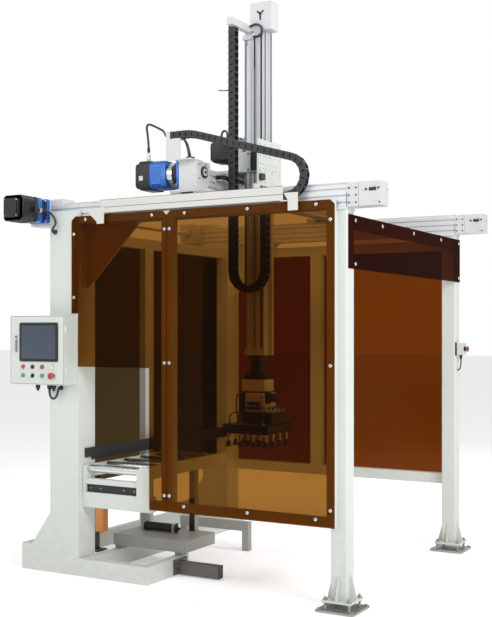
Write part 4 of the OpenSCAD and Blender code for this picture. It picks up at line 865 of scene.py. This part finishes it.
def mushroom(node, body, place, d, height, finish):
    """Emergency stop: a stem, a collar and a domed head, clear of its panel by the travel."""
    s = Shape()
    r, travel = d / 2, 8
    top = travel + height
    with s.placed(place):
        s.lathe([(8, -30), (8, travel), (12, travel + 0.5), (12, travel + height * 0.45)], BLACK, 24)
        s.lathe([(r * 0.72, top - height * 0.6), (r * 0.97, top - height * 0.52), (r, top - height * 0.4),
                 (r, top - height * 0.22), (r * 0.93, top - height * 0.1), (r * 0.7, top - 1),
                 (r * 0.35, top), (0, top)], finish, 40)
    s.done(body, body, "red", node)


push_button("red_button", "stop_button", 0, PANEL_RED, "red")
push_button("green_button", "start_button", 1, GREEN, "green")

knob = Shape()
with knob.placed(on_panel(1, 1)):
    knob.lathe([(8, -30), (8, 0.4), (13, 0.6), (13, 5.5), (12, 6.5)], BLACK, 32)
    knob.prism([(-3.5, -12), (3.5, -12), (4.5, 0), (3.5, 12), (-3.5, 12), (-4.5, 0)], 6, 20, BLACK, 2)
    knob.box((-0.8, 4, 19.6), (0.8, 11, 20.3), PALE, 0.1)
knob.done("selector_switch", "selector", "black_plastic", "selector_knob")

mushroom("hmi_estop_button", "panel_estop", on_panel(3, 1), 42, 17, PANEL_RED)


# Emergency stop on the rear right post

stop_low, stop_high = corners("estop_box")
stop_face = middle("estop_box")
stop_face.x = stop_high.x
on_stop = frame_at(stop_face, RIGHT)
mushroom("rear_estop_button", "post_estop", on_stop, 40, 22, OLD_RED)

stop_box = Shape()
fasten(stop_box, BUTTON, 8, [stop_face + Vector((0, y, z)) for y, z in four(35, 33)], RIGHT)
stop_box.box((stop_low.x - 1, stop_low.y - 2, stop_low.z - 4),
             (stop_low.x + 11, stop_low.y, stop_high.z + 4), BLACK, 1)
with stop_box.placed(on_stop):
    stop_box.lathe([(19, 0), (19, 2), (17, 3.5), (14, 3.5), (14, 1)], BLACK, 32)
gland(stop_box, (stop_face.x - 26, stop_face.y, stop_low.z), DOWN, 20, 16)
with stop_box.placed((stop_face.x - 26, stop_face.y, stop_low.z)):
    lead = [(0, 0, -20), (0, 0, -60), (-4, 0, -90), (-16, 0, -106), (-28, 0, -110)]
    stop_box.tube(smooth_line(lead), 9, LEAD, 10)
stop_box.done("stop_box_fittings", "frame", "black_plastic")


# Cable glands, under the operator panel and on the column

glands = Shape()
for x in (178, 273, 307):
    gland(glands, (hmi_low.x + x, hmi_y + 61, hmi_z0), DOWN, 28, 26)
for node in ("hmi_cable", "x_motor_cable"):
    end = lead_ends(node)[1]
    gland(glands, (end.x, hmi_high.y, end.z), FRONT, 28, 10)
glands.done("glands", "frame", "black_plastic")


# Rollers with end caps and spindles

SPINDLE = 21    # free length at each end of the tube
for node in [f"roller_{k}" for k in range(1, 7)]:
    low, high = corners(node)
    tube_l = high.x - low.x - 2 * SPINDLE
    end = [(5.9, -SPINDLE), (5.9, -0.5), (9, -0.5), (9, 1), (20, 1), (20, 3), (23.5, 3), (23.5, 0.2),
           (25, 1.5)]
    s = Shape()
    with s.placed(frame_at((low.x + SPINDLE, middle(node).y, middle(node).z), RIGHT)):
        s.lathe(end + [(r, tube_l - z) for r, z in end[::-1]], BRIGHT, 40)
    s.done("infeed_" + node, node, "roller", node)


# Gripper head, drawn upwards from the middle of its suction plate

grip_low, grip_high = corners("gripper_head")
wide = grip_high.x - grip_low.x
on_grip = Matrix.Translation(((grip_low.x + grip_high.x) / 2, (grip_low.y + grip_high.y) / 2, grip_low.z))
grip = Shape()
with grip.placed(on_grip):
    grip.lathe([(60, 486.6), (60, 471), (56, 468), (42, 468), (42, 427), (46, 425), (46, 377), (42, 371)],
               BLACK, 40)
    for x, y in around(50, 6, 30):
        grip.rod((x, y, 459), (x, y, 469), 11, BRIGHT, 12, 1)
    for low, high, finish, edge in (
            ((-66, -54, 333), (66, 54, 368), BLACK, 4), ((-84, -62, 259), (84, 62, 334), CAST, 4),
            ((-60, -50, 247), (60, 50, 261), BLACK, 2), ((-92, -76, 130), (-46, 76, 251), BLACK, 5),
            ((-47, -78, 130), (92, 78, 251), CAST, 5), ((-62, -96, 54), (150, 96, 131), BLACK, 4)):
        grip.box(low, high, finish, edge)
    for x, y, z, head in ((58, 43, 368, 11), (80, 64, 251, 12), (150, 150, 55, 12)):
        fasten(grip, CAP, head, [(i, j, z) for i, j in four(x, y)])
    fasten(grip, CAP, 12, [(x, -78, z) for z in (157, 224) for x in (-72, 72)], FRONT)

    # Suction plates
    grip.prism(rounded(wide, wide, 6), 0, 14, BLACK, 1.5)
    grip.prism(rounded(wide - 20, wide - 20, 4), 14, 42, BLACK, 1)
    grip.prism(rounded(wide, wide, 6), 41, 55, BLACK, 1.5)

    # Air fittings, their hoses and the valve block
    for x, y in [(90 + 28 * i, -70 + 70 * j) for i in range(3) for j in range(3)]:
        grip.rod((x, y, 130), (x, y, 149), 15, BRIGHT, 6, 1)
        grip.rod((x, y, 149), (x, y, 167), 13, BLUE, 16, 2)
    edge_y = 18 - wide / 2
    for x in range(-120, 121, 60):
        grip.rod((x, edge_y, 54), (x, edge_y, 68), 17, BRIGHT, 6, 1)
        grip.rod((x, edge_y, 66), (x, edge_y, 82), 13, BLACK, 16, 1.5)
        hose = [(x, edge_y, 80), (x, edge_y + 2, 104), (x * 0.9 + 5, edge_y + 22, 128),
                (x * 0.6 + 20, -108, 118), (x * 0.5 + 30, -97, 100)]
        grip.tube(smooth_line(hose), 8, LEAD, 8)
    grip.box((91, -70, 185), (106, -10, 260), BLACK, 2)
    turn = around(34, 16)
    coil = [(112 + turn[k % 16][0], -40 + turn[k % 16][1], 196 + 13 * k / 16) for k in range(4 * 16 + 1)]
    grip.tube(coil, 11, RUBBER, 10)
    hose = [(-92, -40, 227), (-118, -44, 237), (-126, -50, 207), (-120, -60, 147), (-100, -80, 97),
            (-62, -90, 87)]
    grip.tube(smooth_line(hose), 9, LEAD, 8)
    grip.box((-20, -112, 149), (60, -78, 197), BLACK, 3)
    for x in (-6, 20, 46):
        grip.rod((x, -112, 173), (x, -124, 173), 12, BRIGHT, 12, 1)
grip.done("gripper_body", "gripper", "gripper", "gripper_head")

cup = Shape()
cup.lathe([(4, 0), (4, -4), (9, -4), (9, -10), (5, -11), (5, -30), (7, -31), (7, -40), (11, -41), (11, -48)],
          BRIGHT, 20)
cup.lathe([(10.5, -47), (12, -48), (12, -54), (17.4, -62), (13.6, -69), (17.5, -74), (20, -80), (20, -84),
           (18.6, -84), (15, -78), (4, -72)], SILICONE, 28)
spring = [(*around(6.6, 10)[k % 10], -11 - 18 * k / 60) for k in range(61)]
cup.tube(spring, 1.6, BRIGHT, 6)
cups = Shape()
pitch = (wide - 60) / 3
for x, y in [((i - 1.5) * pitch, (j - 1.5) * pitch) for i in range(4) for j in range(4)]:
    cups.stamp(cup, on_grip @ Matrix.Translation((x, y, 0)))
cups.done("vacuum_cups", "gripper", "cup", "suction_cups")


# Photocell post: black post, foot plate and an orange housing

light_low, light_high = corners("light_post")
photocell = Shape()
with photocell.placed(light_low):
    depth, width = light_high.y - light_low.y, light_high.x - light_low.x
    photocell.prism([(0, 30), (32, 30), (32, 80), (0, 80)], 8, light_high.z, BLACK, 2)
    photocell.box((0, 0, 0), (80, depth, 8), BLACK, 1.5)
    photocell.box((32, 25, 135), (width, 85, 430), ORANGE, 5)
    fasten(photocell, BUTTON, 9, [(width, y, z) for y in (39, 71) for z in (160, 405)], RIGHT)
    fasten(photocell, HEX, 14, [(61, 15, 8), (61, 95, 8)], UP)
photocell.done("photocell_post", "frame", "orange", "light_post")


# Covers in the mast's slots, and the three-armed grip in its head

covers = Shape()
with covers.placed(corners("mast")[0] + Vector((0, 14, 0))):
    for x0, x1, z0, z1, finish in (
            (1, 22, 40, 1988, GREY), (68, 78, 1809, 2004, BLACK), (68, 78, 40, 1808, GREY),
            (115, 126, 40, 2040, BLACK), (45, 55, 40, 1988, ALONG_Z)):
        covers.box((x0, -1.2, z0), (x1, 0, z1), finish, 0.4)
    for y in (4, 80):
        covers.box((140, y, 1040), (141.2, y + 24, 2040), GREY, 0.4)
with covers.placed(corners("mast_head")[0] + Vector((116.5, 226.5, 156))):
    covers.box((-42, 0, -42), (42, 1.5, 42), CAST, 0.5)
    with covers.placed(frame_at((0, 0, 0), FRONT)):
        for a, length in ((40, 30), (140, 30), (270, 38)):
            with covers.placed(Matrix.Rotation(math.radians(a), 4, "Z")):
                covers.box((0, -6, 0), (length, 6, 1.2), BLACK, 0.4)
        covers.lathe([(10, 0), (10, 1.6), (0, 1.6)], BLACK, 24)
covers.done("mast_covers", "lift_mast", "aluminium")


# The rod at the mast's chain

pin = Shape()
pin.rod((-921, 190, 3036), (-883, 262, 3046), 9, GREY, 14, 1)
chain_pin = pin.piece("chain_pin")
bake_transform(chain_pin)


# Fittings on the long modules' end boxes: bolts, a belt tensioner and its screw

box_low, box_high = corners("x_axis_boxes")
ends = Shape()
for post in ("front_right_post", "rear_right_post"):
    with ends.placed((0, middle(post).y - 58, box_low.z)):
        fasten(ends, CAP, 9, [(x, 0, z) for x in (65, 107) for z in (23, 63, 103)], FRONT)
        for x, z, head in ((166, 90, 12), (246, 17, 9), (240, 94, 11)):
            fasten(ends, CAP, head, [(x, 0, z)], FRONT)
        ends.box((184, -4, 81), (226, 0, 99), BLACK, 2)
        ends.rod((190, -3, 90), (222, -3, 90), 14, BLACK, 16, 3)
        ends.rod((box_high.x - 4, 98, 94), (box_high.x + 0.5, 98, 94), 12, BLACK, 6, 0.4)
        ends.box((50.4, -0.8, 5), (54, 0, 76), BLACK, 0.3)
ends.done("end_fittings", "frame", "bolt")


# The bridge's hub ring and bolts, and the bundle that drops from the long chain's end

bridge_low = corners("bridge_boxes")[0]
hub = Shape()
with hub.placed(frame_at((bridge_low.x + 128, *y_axis), RIGHT)):
    hub.lathe([(37, -5.8), (37, 0.8), (36, 1.4), (24, 1.4)], BLACK, 40)
    hub.lathe([(11, 6.1), (11, 6.8), (0, 6.8)], BLACK, 24)
    fasten(hub, BRIGHT_CAP, 7, [(x, y, 1.4) for x, y in around(30, 6, 30)])
with hub.placed(bridge_low):
    fasten(hub, BRIGHT_BUTTON, 9, [(x, 0, z) for z in (18, 86, 154) for x in (15, 107)], FRONT)
    fasten(hub, CAP, 9, [(122, y, z) for y, z in ((40, 68), (40, 154), (146, 28), (110, 158))], RIGHT)
hub.done("bridge_hub", "bridge", "steel")

bundle = Shape()
for k, (y, d) in enumerate(((-92, 12), (-80, 14), (-68, 11))):
    line = [(-996 - 4 * k, y, 2706), (-990 - 4 * k, y, 2694), (-976 - 3 * k, y, 2670),
            (-966 - 3 * k, y, 2640), (-962 - 2 * k, y + 4, 2610), (-964, y + 12, 2581)]
    bundle.tube(smooth_line(line), d, LEAD, 10)
bundle.box((-982, -88, 2581), (-942, -46, 2593), BLACK, 2)
bundle.done("lead_bundle", "bridge", "cable")


# The carriage's black slide cover, bolts and terminal box

slide = Shape()
with slide.placed(corners("z_carriage")[0]):
    slide.box((261, 123, 155), (314, 137, 272), BLACK, 3)
    slide.box((360, 55, 82), (388, 94, 122), BLACK, 3)
    fasten(slide, CAP, 10, [(x, 137, z) for z in (164, 264) for x in (240, 332)], FRONT)
    side = [(360, y, z) for y in range(72, 273, 40) for z in (158, 188, 238, 298)]
    fasten(slide, BRIGHT_CAP, 8, side, RIGHT)
slide.done("carriage_fittings", "carriage", "black_metal")


# Tray edging

tray_low, tray_high = corners("cable_tray")
tray_long = tray_high.x - tray_low.x
edging = Shape()
with edging.placed((tray_low.x, tray_low.y + 4, tray_high.z)):
    edging.box((119, 0, 0), (tray_long - 95, 3.5, 2.5), RUBBER, 0.6)
    edging.box((121, -0.5, -47), (tray_long - 97, 0, -43), GREY, 0.2)
edging.done("tray_edging", "frame", "black_plastic")


# Dark fittings low in the cell: the roller drive's cover, the stand's cylinder and the pallet stop's end

dark = Shape()
with dark.placed(corners("conveyor_frame")[0]):
    dark.box((26, 17, 97), (420, 57, 145), BLACK, 3)
    fasten(dark, BRIGHT_BUTTON, 9, [(x, 17, 121) for x in (53, 133, 313, 393)], FRONT)
with dark.placed(corners("conveyor_stand")[0]):
    with dark.placed(frame_at((120, 200, 242), RIGHT)):
        dark.lathe([(24, -12), (29, -8), (29, 0), (28.6, 4), (28.6, 236), (29, 240), (29, 248), (20, 254),
                    (9, 254), (9, 275), (6, 278)], BLACK, 36)
    dark.box((397, 311.5, 212), (438, 314, 430), BLACK, 1)
end_low, end_high = corners("pallet_stop")
end_x = end_high.x - end_low.x
with dark.placed(end_low):
    dark.box((end_x, 44, -1), (end_x + 4, 101, 81), BLACK, 1)
    fasten(dark, HEX, 13, [(10, y, z) for y in (35, 115) for z in (23, 55, 79)], RIGHT)
dark.done("dark_fittings", "frame", "black_metal")


# Stage and light

WHITE = (1, 1, 1, 1)
reach, under = 60, -0.002
floor = bpy.data.objects.new("floor", bpy.data.meshes.new("floor"))
square = [(x * reach, y * reach, under) for x, y in ((-1, -1), (1, -1), (1, 1), (-1, 1))]
floor.data.from_pydata(square, [], [[0, 1, 2, 3]])
ground = surface("pale_floor", (0.86, 0.86, 0.86), 0.7, mottle=0.01, edge=0)
feed(ground.node_tree.nodes["Principled BSDF"], {"Emission Color": WHITE, "Emission Strength": 0.30})
floor.data.materials.append(ground)
show(floor)
floor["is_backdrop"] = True

# The backdrop is white to the camera and dimmer as a light
world = bpy.data.worlds.new("studio")
bpy.context.scene.world = world
world.use_nodes = True
tree = world.node_tree
dim = tree.nodes["Background"]
feed(dim, {"Color": WHITE, "Strength": 0.60})
seen = make(tree, "Background", {"Color": WHITE, "Strength": 1.0})["Background"]
to_camera = make(tree, "LightPath")["Is Camera Ray"]
pick = make(tree, "MixShader", {"Fac": to_camera, 1: dim.outputs["Background"], 2: seen})["Shader"]
feed(tree.nodes["World Output"], {"Surface": pick})
bpy.context.scene.view_settings.view_transform = "Standard"


def softbox(name, place, aim, size, power):
    light = bpy.data.lights.new(name, "AREA")
    light.shape = "RECTANGLE"
    light.size, light.size_y = size
    light.energy = power
    lamp = bpy.data.objects.new(name, light)
    lamp.location = at(place)
    lamp.rotation_euler = (Vector(aim) - Vector(place)).to_track_quat("-Z", "Y").to_euler()
    show(lamp)


softbox("key", (5600, -3000, 4600), (-800, 700, 1700), (3.0, 3.0), 310)
softbox("fill", (-3500, -5200, 4200), (-1000, 600, 1400), (4.0, 3.0), 75)
softbox("top", (-900, 900, 6200), (-900, 900, 1000), (2.4, 2.4), 130)
softbox("back", (-500, 6200, 4600), (-1000, 800, 1600), (4.0, 2.5), 90)

low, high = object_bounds()
